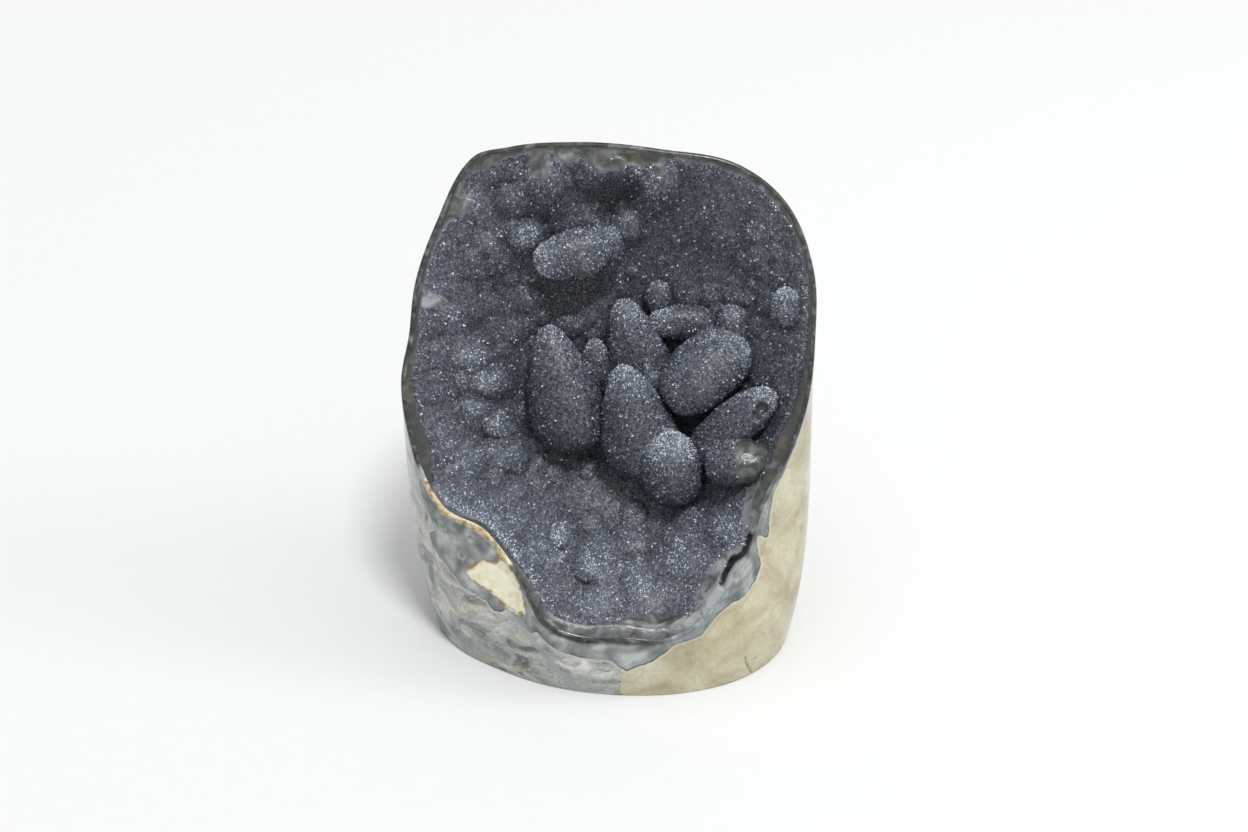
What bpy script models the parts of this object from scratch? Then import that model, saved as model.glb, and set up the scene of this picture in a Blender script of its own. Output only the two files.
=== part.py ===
"""Amethyst with calcite: a polished, free-standing piece of a geode.

The stone is a rounded block with a flat sawn base, cut on a slant in front. The cut opens a hollow
that is lined with a crust of tiny amethyst points, and stout calcite crystals stand in it.

Places in the hollow are given in the frame of the slanted cut: x to the right, v up the cut from
its lowest point, and w out of the cut, so that everything inside the hollow has a negative w.
"""

import math

import bmesh
import bpy
from mathutils import Matrix, Vector, noise

MM = 0.001

# Stone, in millimetres: height 111, width 90, depth 67
LIP = Vector((0.0, -34.0, 14.5))
CUT_LEAN = math.radians(63.5)
CUT_LENGTH = 108.0
CUT_MIDDLE = Vector((1.0, 58.0))
STONE_FROM_CUT = Matrix.Translation(LIP) @ Matrix.Rotation(CUT_LEAN, 4, "X")
FOOT_MIDDLE = Vector((1.0, -3.0))

# Edge of the druse on the slanted cut, as (x, v), from the lip round to the right
RIM = (
    (4.0, 1.8),
    (11.3, 1.4),
    (17.7, 4.0),
    (23.1, 9.0),
    (27.4, 14.4),
    (30.6, 20.9),
    (32.2, 29.0),
    (36.0, 37.1),
    (41.3, 50.0),
    (43.5, 66.1),
    (43.1, 81.1),
    (37.6, 94.6),
    (27.6, 102.6),
    (11.2, 105.8),
    (-5.9, 107.3),
    (-20.8, 106.3),
    (-28.3, 104.2),
    (-35.8, 90.7),
    (-40.5, 76.8),
    (-41.6, 67.0),
    (-43.3, 57.6),
    (-42.0, 46.5),
    (-35.2, 30.2),
    (-26.4, 25.2),
    (-18.9, 15.5),
    (-13.5, 5.7),
    (-7.0, 2.4),
)

# Outline of the sawn base, as (x, y), from the front round to the right
FOOT = (
    (4.6, -32.2),
    (17.6, -31.1),
    (30.8, -25.1),
    (39.0, -14.5),
    (41.0, -2.0),
    (37.0, 11.0),
    (25.0, 19.5),
    (8.0, 23.0),
    (-12.0, 22.0),
    (-29.0, 16.0),
    (-37.5, 5.0),
    (-38.9, -5.0),
    (-34.5, -13.6),
    (-22.9, -23.5),
    (-8.2, -30.3),
)

# Polished edge between the druse and the outer skin
EDGE_WIDTH = 1.1
EDGE_DROP = 0.9
SHOULDER_WIDTH = 0.65
SHOULDER_DROP = 0.1
POLISH_DEPTH = 0.4

# Outer skin: it leaves the front edge downwards and the back edge backwards
SKIN_STEPS = 8
FRONT_LEAVE = Vector((0.0, 0.0, -1.0))
BACK_LEAVE = Vector((0.0, 1.0, -0.5))
BACK_SHARE_POWER = 1.5
BACK_BULGE = 0.29
FRONT_BULGE = 0.30
FOOT_BULGE = 0.34
FOOT_TUCK = 0.25
BELLY = 0.4

# Hollow and its crust
HOLLOW_DEPTH = 25.0
HOLLOW_HALF_WIDTH = 42.0
HOLLOW_HALF_LENGTH = 54.0
HOLLOW_POWER = 2.3
HOLLOW_SKEW = 0.34
CRUST_THICKNESS = 3.0
CRUST_CELLS = 38
HOLLOW_CELLS = 18
WAVE_HEIGHT = 0.9
WAVE_LENGTH = 9.0
GAP = 0.35

# Lumps and ledges of the crust, as (x, v, radius, height)
LUMPS = (
    (-26.5, 103.0, 6.0, 2.5),
    (-13.5, 101.0, 10.0, 6.0),
    (-19.5, 96.0, 6.5, 4.0),
    (-1.5, 104.0, 10.0, 7.0),
    (10.0, 101.0, 9.0, 4.5),
    (-31.0, 93.5, 9.0, 4.0),
    (-26.0, 86.0, 8.0, 3.5),
    (-18.5, 88.5, 6.5, 4.5),
    (-37.0, 76.0, 7.5, 2.5),
    (-34.5, 71.0, 7.5, 3.5),
    (-34.0, 61.0, 11.0, 3.5),
    (-29.5, 61.5, 6.5, 4.5),
    (-26.0, 56.5, 6.5, 5.0),
    (-29.0, 50.5, 6.5, 4.0),
    (-24.0, 47.5, 6.0, 3.5),
    (-35.0, 45.0, 8.5, 2.5),
    (-30.5, 40.0, 7.5, 3.0),
    (-23.0, 40.5, 6.5, 3.0),
    (-12.0, 21.5, 7.5, 3.0),
    (-2.0, 16.5, 8.0, 3.5),
    (7.5, 12.5, 7.5, 3.0),
    (-3.0, 9.5, 6.0, 2.5),
    (17.0, 18.0, 7.5, 2.5),
    (26.0, 24.0, 6.5, 3.0),
    (33.0, 88.0, 10.0, 2.5),
    (24.0, 94.0, 11.0, 2.5),
)

# Hollow under the top lip, as (x, v, radius, height)
RECESS = (1.0, 97.0, 8.0, -2.2)

# Calcite crystals, as (root, tip, radius), with both ends as (x, v, w)
CALCITE = {
    "calcite_left": (
        ((-8.4, 41.0, -21.5), (-14.0, 68.4, -14.0), 8.3),
        ((-2.4, 54.5, -24.0), (-2.8, 65.5, -17.0), 3.2),
    ),
    "calcite_back": (
        ((9.0, 56.0, -24.0), (2.6, 74.8, -14.5), 6.0),
        ((11.5, 51.0, -23.0), (10.0, 60.0, -16.0), 3.2),
    ),
    "calcite_centre": (
        ((9.0, 34.5, -17.5), (2.0, 59.8, -7.5), 7.7),
        ((12.4, 30.0, -15.5), (15.0, 45.0, -5.5), 7.0),
    ),
    "calcite_right": (
        ((28.3, 70.5, -17.0), (15.0, 51.5, -9.0), 7.4),
        ((27.5, 65.5, -17.0), (28.0, 74.5, -10.0), 4.0),
        ((27.5, 67.5, -21.0), (11.0, 70.5, -16.5), 4.4),
    ),
    "calcite_lower_right": (
        ((21.0, 42.0, -13.5), (34.6, 56.3, -2.0), 5.1),
        ((22.0, 38.0, -8.0), (35.5, 41.0, -4.5), 4.9),
    ),
    "calcite_wall_bud": (
        ((0.5, 89.0, -14.0), (-15.6, 81.3, -9.0), 5.9),
        ((1.0, 83.0, -13.0), (0.5, 90.5, -10.0), 3.4),
    ),
    "calcite_knob": (((11.0, 73.0, -20.0), (11.0, 79.2, -17.0), 3.0),),
    "calcite_rim_bud": (((38.5, 69.5, -5.0), (37.8, 77.5, -1.5), 3.5),),
}
CRYSTAL_SIDES = 12
CRYSTAL_RINGS = 9
CRYSTAL_TAPER = 0.28
CRYSTAL_BLUNTNESS = 0.75
CRYSTAL_RIDGE = 0.04
CUTTER_DEPTH = 60.0

ROCK_COLOUR = (0.52, 0.46, 0.36, 1.0)
ROCK_ROUGHNESS = 0.25
CRUST_COLOUR = (0.075, 0.082, 0.105, 1.0)
CRUST_ROUGHNESS = 0.35
CALCITE_COLOUR = (0.115, 0.120, 0.140, 1.0)
CALCITE_ROUGHNESS = 0.4
SHARP_ANGLE = math.radians(40.0)


def polar_outline(points, middle):
    """Return the distance from middle to a closed outline as a function of angle."""
    knots = []
    for point in points:
        arm = Vector(point) - middle
        knots.append((math.atan2(arm.y, arm.x) % math.tau, arm.length))
    knots.sort()
    count = len(knots)

    def knot(index):
        turn, place = divmod(index, count)
        return knots[place][0] + turn * math.tau, knots[place][1]

    def slope(index):
        before, after = knot(index - 1), knot(index + 1)
        return (after[1] - before[1]) / (after[0] - before[0])

    def distance(angle):
        angle %= math.tau
        index = sum(1 for start, _ in knots if start <= angle) - 1
        start, end = knot(index), knot(index + 1)
        span = end[0] - start[0]
        t = (angle - start[0]) / span
        return (
            start[1] * (1 + 2 * t) * (1 - t) ** 2
            + span * slope(index) * t * (1 - t) ** 2
            + end[1] * t * t * (3 - 2 * t)
            + span * slope(index + 1) * t * t * (t - 1)
        )

    return distance


rim_distance = polar_outline(RIM, CUT_MIDDLE)
foot_distance = polar_outline(FOOT, FOOT_MIDDLE)


def rim_point(angle, outward=0.0):
    """Return the point of the rim in one direction, moved outward along the cut."""
    reach = rim_distance(angle) + outward
    return CUT_MIDDLE + reach * Vector((math.cos(angle), math.sin(angle)))


def rim_fraction(x, v):
    """Return 0 at the middle of the cut and 1 on the edge of the druse."""
    arm = Vector((x, v)) - CUT_MIDDLE
    if arm.length < 1e-6:
        return 0.0
    return arm.length / rim_distance(math.atan2(arm.y, arm.x))


def hollow_height(x, v):
    """Return the smooth height of the hollow, round within and following the rim outside."""
    rim = min(rim_fraction(x, v), 1.0)
    across = (x - CUT_MIDDLE.x) / HOLLOW_HALF_WIDTH
    along = (v - CUT_MIDDLE.y) / HOLLOW_HALF_LENGTH
    round_bowl = min(math.hypot(across, along), 1.0)
    fraction = round_bowl + (rim - round_bowl) * rim**3
    skew = 1.0 - HOLLOW_SKEW * (v - CUT_MIDDLE.y) / CUT_MIDDLE.y
    return -HOLLOW_DEPTH * (1.0 - fraction**HOLLOW_POWER) * skew


def lump_height(x, v, lump):
    """Return what one rounded lump adds at a place of the crust."""
    across, up, radius, height = lump
    reach = ((x - across) ** 2 + (v - up) ** 2) / radius**2
    if reach >= 1.0:
        return 0.0
    return height * (1.0 - reach) ** 2


def druse_height(x, v):
    """Return the height of the crust's surface: the hollow, its lumps and its waves."""
    lumps = max(lump_height(x, v, lump) for lump in LUMPS) + lump_height(x, v, RECESS)
    waves = WAVE_HEIGHT * noise.noise(Vector((x, v, 0.0)) / WAVE_LENGTH)
    inside = 1.0 - min(rim_fraction(x, v), 1.0) ** 6
    return min(hollow_height(x, v) + (lumps + waves) * inside, -POLISH_DEPTH)


def crust_underside(x, v):
    """Return the height of the crust's hidden side."""
    return hollow_height(x, v) - CRUST_THICKNESS


def rock_height(x, v):
    """Return the height of the stone under the crust."""
    return crust_underside(x, v) - GAP


def disc_place(a, b):
    """Return the radius and angle on a disc of a place on a square from -1 to 1."""
    if abs(a) < 1e-9 and abs(b) < 1e-9:
        return 0.0, 0.0
    if abs(a) >= abs(b):
        return abs(a), (math.pi / 4.0) * (b / a) + (math.pi if a < 0.0 else 0.0)
    return abs(b), (math.pi / 2.0) * math.copysign(1.0, b) - (math.pi / 4.0) * (a / b)


def add_sheet(mesh, cells, height, inset, direction):
    """Add a sheet over the whole cut at a given height, and return the edges round it."""
    grid = bmesh.ops.create_grid(mesh, x_segments=cells, y_segments=cells, size=1.0)
    for point in grid["verts"]:
        radius, angle = disc_place(point.co.x, point.co.y)
        place = CUT_MIDDLE.lerp(rim_point(angle, -inset), radius)
        point.co = (place.x, place.y, height(place.x, place.y))
        point[direction] = angle
    edges = dict.fromkeys(edge for point in grid["verts"] for edge in point.link_edges)
    return [edge for edge in edges if edge.is_boundary]


def add_ring(mesh, edges, place, direction):
    """Extrude a closed row of edges, put its points where place(angle) says, return it."""
    grown = bmesh.ops.extrude_edge_only(mesh, edges=edges)["geom"]
    for point in grown:
        if isinstance(point, bmesh.types.BMVert):
            point.co = place(point[direction])
    return [edge for edge in grown if isinstance(edge, bmesh.types.BMEdge)]


def skin_point(angle, t):
    """Return a point of the outer skin, from its polished edge at t = 0 to the foot at 1."""
    outer = rim_point(angle, EDGE_WIDTH)
    top = STONE_FROM_CUT @ Vector((outer.x, outer.y, -EDGE_DROP))
    out = Vector((math.cos(angle), math.sin(angle), 0.0))
    belly = BELLY * abs(out.x) * out * 4.0 * t * (1.0 - t)
    foot = FOOT_MIDDLE.to_3d() + foot_distance(angle) * out
    span = (top - foot).length
    rise = min(max(outer.y / CUT_LENGTH, 0.0), 1.0) ** BACK_SHARE_POWER
    leave = FRONT_LEAVE.lerp(BACK_LEAVE, rise).normalized()
    leave *= span * (FRONT_BULGE + (BACK_BULGE - FRONT_BULGE) * rise)
    arrive = (Vector((0.0, 0.0, -1.0)) - FOOT_TUCK * out).normalized() * span * FOOT_BULGE
    return (
        top * (1 + 2 * t) * (1 - t) ** 2
        + leave * 3 * t * (1 - t) ** 2
        + foot * t * t * (3 - 2 * t)
        + arrive * 3 * t * t * (t - 1)
        + belly
    )


def finish(mesh, name, colour, roughness, collection):
    """Make one object of a closed mesh, with its material, and shade it smooth."""
    bmesh.ops.recalc_face_normals(mesh, faces=mesh.faces)
    bmesh.ops.scale(mesh, vec=(MM, MM, MM), verts=mesh.verts)
    data = bpy.data.meshes.new(name)
    mesh.to_mesh(data)
    mesh.free()
    part = bpy.data.objects.new(name, data)
    collection.objects.link(part)
    material = bpy.data.materials.new(name)
    material.use_nodes = True
    shader = material.node_tree.nodes["Principled BSDF"]
    shader.inputs["Base Color"].default_value = colour
    shader.inputs["Roughness"].default_value = roughness
    material.diffuse_color = colour
    data.materials.append(material)
    data.shade_smooth()
    data.set_sharp_from_angle(angle=SHARP_ANGLE)
    return part


def build_rock(collection):
    """Build the stone: hollow, ledge under the crust, polished edge, skin and sawn foot."""
    mesh = bmesh.new()
    direction = mesh.verts.layers.float.new("direction")
    edges = add_sheet(mesh, HOLLOW_CELLS, rock_height, 0.0, direction)
    bmesh.ops.transform(mesh, matrix=STONE_FROM_CUT, verts=mesh.verts)

    def edge_point(outward, height):
        def place(angle):
            point = rim_point(angle, outward)
            return STONE_FROM_CUT @ Vector((point.x, point.y, height))

        return place

    edges = add_ring(mesh, edges, edge_point(0.0, 0.0), direction)
    edges = add_ring(mesh, edges, edge_point(SHOULDER_WIDTH, -SHOULDER_DROP), direction)
    for step in range(SKIN_STEPS + 1):
        t = step / SKIN_STEPS
        edges = add_ring(mesh, edges, lambda angle, t=t: skin_point(angle, t), direction)
    bmesh.ops.contextual_create(mesh, geom=edges)
    return finish(mesh, "matrix_rock", ROCK_COLOUR, ROCK_ROUGHNESS, collection)


def build_crust(collection):
    """Build the crust: a fine sheet with lumps over a plainer one, joined at the rim."""
    mesh = bmesh.new()
    direction = mesh.verts.layers.float.new("direction")
    upper = add_sheet(mesh, CRUST_CELLS, druse_height, GAP, direction)
    lower = add_sheet(mesh, HOLLOW_CELLS, crust_underside, GAP, direction)
    bmesh.ops.bridge_loops(mesh, edges=upper + lower)
    bmesh.ops.transform(mesh, matrix=STONE_FROM_CUT, verts=mesh.verts)
    return finish(mesh, "amethyst_crust", CRUST_COLOUR, CRUST_ROUGHNESS, collection)


def add_crystal(mesh, root, tip, radius):
    """Add one stout crystal between its two ends: round, widest near the root, three-sided."""
    root, tip = Vector(root), Vector(tip)
    ball = bmesh.ops.create_uvsphere(
        mesh, u_segments=CRYSTAL_SIDES, v_segments=CRYSTAL_RINGS, radius=1.0
    )["verts"]
    for point in ball:
        turn = math.atan2(point.co.y, point.co.x)
        slim = max(math.hypot(point.co.x, point.co.y), 1e-6) ** (CRYSTAL_BLUNTNESS - 1.0)
        three_sided = 1.0 + CRYSTAL_RIDGE * math.cos(3.0 * turn)
        girth = radius * slim * (1.0 - CRYSTAL_TAPER * point.co.z) * three_sided
        point.co.x *= girth
        point.co.y *= girth
        point.co.z *= 0.5 * (tip - root).length
    turn = (tip - root).to_track_quat("Z", "Y").to_matrix().to_4x4()
    middle = Matrix.Translation((tip + root) / 2.0)
    bmesh.ops.transform(mesh, matrix=STONE_FROM_CUT @ middle @ turn, verts=ball)


def build_cutters(collection):
    """Build the two shapes that trim the crystals: what lies under the druse, and the polish."""
    mesh = bmesh.new()
    direction = mesh.verts.layers.float.new("direction")
    upper = add_sheet(mesh, CRUST_CELLS, lambda x, v: druse_height(x, v) + GAP, 0.0, direction)
    lower = add_sheet(mesh, HOLLOW_CELLS, lambda x, v: -CUTTER_DEPTH, 0.0, direction)
    bmesh.ops.bridge_loops(mesh, edges=upper + lower)
    bmesh.ops.transform(mesh, matrix=STONE_FROM_CUT, verts=mesh.verts)
    ground = finish(mesh, "druse_cutter", CRUST_COLOUR, CRUST_ROUGHNESS, collection)

    mesh = bmesh.new()
    bmesh.ops.create_cube(mesh, size=4.0 * CUTTER_DEPTH)
    lift = Matrix.Translation((CUT_MIDDLE.x, CUT_MIDDLE.y, 2.0 * CUTTER_DEPTH - POLISH_DEPTH))
    bmesh.ops.transform(mesh, matrix=STONE_FROM_CUT @ lift, verts=mesh.verts)
    polish = finish(mesh, "polish_cutter", CRUST_COLOUR, CRUST_ROUGHNESS, collection)
    return ground, polish


def hide_guide(guide):
    """Keep a shape that only shapes others out of the finished part."""
    guide.hide_render = True
    guide.display_type = "WIRE"


def use_boolean(part, operation, other):
    """Add an exact Boolean to a part."""
    modifier = part.modifiers.new(other.name, "BOOLEAN")
    modifier.operation = operation
    modifier.solver = "EXACT"
    modifier.object = other


def build_calcite(name, crystals, cutters, collection, guides):
    """Build one group of crystals grown together, trimmed by the druse and the polish."""
    bodies = []
    for number, crystal in enumerate(crystals):
        mesh = bmesh.new()
        add_crystal(mesh, *crystal)
        label = name if number == 0 else f"{name}_guide_{number}"
        home = collection if number == 0 else guides
        bodies.append(finish(mesh, label, CALCITE_COLOUR, CALCITE_ROUGHNESS, home))
    for other in bodies[1:]:
        hide_guide(other)
        use_boolean(bodies[0], "UNION", other)
    for cutter in cutters:
        use_boolean(bodies[0], "DIFFERENCE", cutter)


def main():
    """Clear the scene and build every piece."""
    for leftover in list(bpy.data.objects):
        bpy.data.objects.remove(leftover)
    specimen = bpy.data.collections.new("amethyst_with_calcite")
    guides = bpy.data.collections.new("guides")
    for collection in (specimen, guides):
        bpy.context.scene.collection.children.link(collection)
    build_rock(specimen)
    build_crust(specimen)
    cutters = build_cutters(guides)
    for cutter in cutters:
        hide_guide(cutter)
    for name, crystals in CALCITE.items():
        build_calcite(name, crystals, cutters, specimen, guides)


main()
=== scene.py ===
"""Looks of a polished, free-standing piece of a geode: dark amethyst druse with coated calcite.

Every piece is modelled in millimetres in the frame of the slanted cut, with x to the right, v up the
cut from its lowest point and w out of it, and is handed over in metres in the frame of the part.
"""

from __future__ import annotations

import logging
import math
from dataclasses import dataclass, field
from enum import Enum

import bmesh
import bpy
import numpy as np
from mathutils import Matrix, Vector, noise

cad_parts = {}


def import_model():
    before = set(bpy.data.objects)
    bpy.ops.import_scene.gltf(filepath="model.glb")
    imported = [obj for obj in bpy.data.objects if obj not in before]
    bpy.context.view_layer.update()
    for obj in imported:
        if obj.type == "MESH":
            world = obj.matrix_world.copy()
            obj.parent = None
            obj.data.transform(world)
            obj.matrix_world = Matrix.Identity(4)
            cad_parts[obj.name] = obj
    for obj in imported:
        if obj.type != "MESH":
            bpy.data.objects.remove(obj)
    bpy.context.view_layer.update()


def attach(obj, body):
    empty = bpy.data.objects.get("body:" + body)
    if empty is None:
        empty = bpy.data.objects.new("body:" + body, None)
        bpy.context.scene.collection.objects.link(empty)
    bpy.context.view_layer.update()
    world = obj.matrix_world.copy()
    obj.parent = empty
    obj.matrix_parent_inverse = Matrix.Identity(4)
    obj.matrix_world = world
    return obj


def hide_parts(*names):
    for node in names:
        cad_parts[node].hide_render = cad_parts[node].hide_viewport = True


MM = 0.001
BODY = "root"
log = logging.getLogger("geode")

Colour = tuple[float, float, float]
Place = tuple[float, float]


class Slot(Enum):
    """Names of the material slots of the record; nothing in this script reads them."""

    ROCK = "polished_rock"
    DRUSE = "amethyst_druse"
    CALCITE = "coated_calcite"


def unit(vectors: np.ndarray) -> np.ndarray:
    """Return the same directions with length one."""
    return vectors / np.maximum(np.linalg.norm(vectors, axis=-1, keepdims=True), 1e-9)


def smoothstep(low: float, high: float, value: np.ndarray) -> np.ndarray:
    """Return a soft step from 0 at low to 1 at high."""
    share = np.clip((value - low) / (high - low), 0.0, 1.0)
    return share * share * (3.0 - 2.0 * share)


def cloud(points: np.ndarray, size: float, seed: int = 0) -> np.ndarray:
    """Return smooth noise from about -1 to 1.

    Args:
        points: Places in millimetres, one a row.
        size: Width of the noise's hills in millimetres.
        seed: Moves to another part of the noise.

    Returns:
        One value for each place.
    """
    moved = points / size + seed * np.array([17.3, 9.1, 5.7])
    return np.array([noise.noise(Vector(place)) for place in moved])


def flat(x: np.ndarray, v: np.ndarray) -> np.ndarray:
    """Return places on the cut as rows of three numbers."""
    return np.stack([x, v, np.zeros_like(x)], axis=-1)


@dataclass(frozen=True)
class PolarOutline:
    """A closed outline, as its distance from a middle in every direction.

    Attributes:
        points: Given points of the outline, in millimetres.
        middle: The place that directions are measured round.
    """

    points: tuple[Place, ...]
    middle: Place

    def knots(self) -> tuple[np.ndarray, np.ndarray]:
        """Return the sorted directions of the points and their distances, two more at each end."""
        arms = np.array(self.points) - np.array(self.middle)
        angles = np.arctan2(arms[:, 1], arms[:, 0]) % math.tau
        order = np.argsort(angles)
        angles, reach = angles[order], np.linalg.norm(arms[order], axis=1)
        angles = np.concatenate([angles[-2:] - math.tau, angles, angles[:2] + math.tau])
        return angles, np.concatenate([reach[-2:], reach, reach[:2]])

    def distance(self, angle: np.ndarray) -> np.ndarray:
        """Return the distance from the middle to the outline.

        Args:
            angle: Directions in radians.

        Returns:
            One distance in millimetres for each direction.
        """
        angles, reach = self.knots()
        slopes = np.zeros_like(reach)
        slopes[1:-1] = (reach[2:] - reach[:-2]) / (angles[2:] - angles[:-2])
        angle = np.asarray(angle, float) % math.tau
        start = np.searchsorted(angles, angle, side="right") - 1
        span = angles[start + 1] - angles[start]
        t = (angle - angles[start]) / span
        return (
            reach[start] * (1 + 2 * t) * (1 - t) ** 2
            + span * slopes[start] * t * (1 - t) ** 2
            + reach[start + 1] * t * t * (3 - 2 * t)
            + span * slopes[start + 1] * t * t * (t - 1)
        )


@dataclass(frozen=True)
class SlantedCut:
    """The slanted cut in front, with the edge of the druse on it.

    Attributes:
        lip: Lowest point of the cut, in the frame of the part.
        lean: How far the cut is raised from level, in degrees.
        length: Length of the cut from its lowest to its highest point.
        rim: Edge of the druse.
    """

    lip: tuple[float, float, float] = (0.0, -34.0, 14.5)
    lean: float = 63.5
    length: float = 108.0
    rim: PolarOutline = PolarOutline(
        points=(
            (4.0, 1.8), (11.3, 1.4), (17.7, 4.0), (23.1, 9.0), (27.4, 14.4), (30.6, 20.9),
            (32.2, 29.0), (36.0, 37.1), (41.3, 50.0), (43.5, 66.1), (43.1, 81.1), (37.6, 94.6),
            (27.6, 102.6), (11.2, 105.8), (-5.9, 107.3), (-20.8, 106.3), (-28.3, 104.2),
            (-35.8, 90.7), (-40.5, 76.8), (-41.6, 67.0), (-43.3, 57.6), (-42.0, 46.5),
            (-35.2, 30.2), (-26.4, 25.2), (-18.9, 15.5), (-13.5, 5.7), (-7.0, 2.4),
        ),
        middle=(1.0, 58.0),
    )

    @property
    def matrix(self) -> Matrix:
        """The frame of the cut in the frame of the part, in millimetres."""
        return Matrix.Translation(self.lip) @ Matrix.Rotation(math.radians(self.lean), 4, "X")

    def to_part(self, points: np.ndarray) -> np.ndarray:
        """Return places on the cut as places in the frame of the part."""
        frame = np.array(self.matrix)
        return points @ frame[:3, :3].T + frame[:3, 3]

    def rim_place(self, angle: np.ndarray, outward: float = 0.0) -> np.ndarray:
        """Return the point of the rim in each direction.

        Args:
            angle: Directions round the middle of the cut, in radians.
            outward: How far outside the rim the point lies.

        Returns:
            Rows of x and v.
        """
        reach = self.rim.distance(angle) + outward
        round_it = np.stack([np.cos(angle), np.sin(angle)], axis=-1)
        return np.array(self.rim.middle) + reach[..., None] * round_it

    def fraction(self, x: np.ndarray, v: np.ndarray) -> np.ndarray:
        """Return 0 at the middle of the cut and 1 on the rim."""
        across, along = x - self.rim.middle[0], v - self.rim.middle[1]
        return np.hypot(across, along) / self.rim.distance(np.arctan2(along, across))


@dataclass(frozen=True)
class Lump:
    """One rounded lump of the crust: its place on the cut, radius and height."""

    x: float
    v: float
    radius: float
    height: float
    softness: float = 2.0

    def rise(self, x: np.ndarray, v: np.ndarray) -> np.ndarray:
        """Return what the lump adds to the crust at each place."""
        reach = ((x - self.x) ** 2 + (v - self.v) ** 2) / self.radius**2
        return self.height * np.clip(1.0 - reach, 0.0, 1.0) ** self.softness


@dataclass(frozen=True)
class BumpPatch:
    """A stretch of the crust that is covered with small rounded bumps.

    Attributes:
        x: Middle of the stretch across the cut.
        v: Middle of the stretch up the cut.
        width: Spread of the bumps across the cut.
        length: Spread of the bumps up the cut.
        count: Number of bumps.
        radii: Smallest and largest radius of a bump.
    """

    x: float
    v: float
    width: float
    length: float
    count: int
    radii: tuple[float, float]

    def bumps(self, random: np.random.Generator) -> np.ndarray:
        """Return the bumps as rows of x, v and radius."""
        spread = random.normal(size=(self.count, 2)) * (0.5 * self.width, 0.5 * self.length)
        radius = random.uniform(*self.radii, size=self.count)
        return np.column_stack([self.x + spread[:, 0], self.v + spread[:, 1], radius])


@dataclass(frozen=True)
class PolishedPatch:
    """A stretch of the crust that the polish or smooth chalcedony leaves without points.

    Attributes:
        x: Middle of the stretch across the cut.
        v: Middle of the stretch up the cut.
        width: Half its width.
        length: Half its length.
        turn: How far it is turned on the cut, in degrees.
        tone: How pale it is, from -1 for dark to 1 for pale.
    """

    x: float
    v: float
    width: float
    length: float
    turn: float = 0.0
    tone: float = 0.0

    def share(self, x: np.ndarray, v: np.ndarray) -> np.ndarray:
        """Return 1 well inside the stretch and 0 well outside it."""
        turn = math.radians(self.turn)
        across = (x - self.x) * math.cos(turn) + (v - self.v) * math.sin(turn)
        along = (v - self.v) * math.cos(turn) - (x - self.x) * math.sin(turn)
        return 1.0 - smoothstep(0.7, 1.15, np.hypot(across / self.width, along / self.length))


@dataclass(frozen=True)
class CutLine:
    """A line on the cut, as rows of x and v."""

    points: tuple[Place, ...]

    def distance(self, x: np.ndarray, v: np.ndarray) -> np.ndarray:
        """Return how far places on the cut lie from the line."""
        places, nearest = np.stack([x, v], axis=-1), np.full(x.shape, np.inf)
        for start, end in zip(np.array(self.points), np.array(self.points)[1:]):
            run = end - start
            share = np.clip((places - start) @ run / (run @ run), 0.0, 1.0)
            nearest = np.minimum(nearest, np.linalg.norm(places - start - share[..., None] * run, axis=-1))
        return nearest


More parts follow.
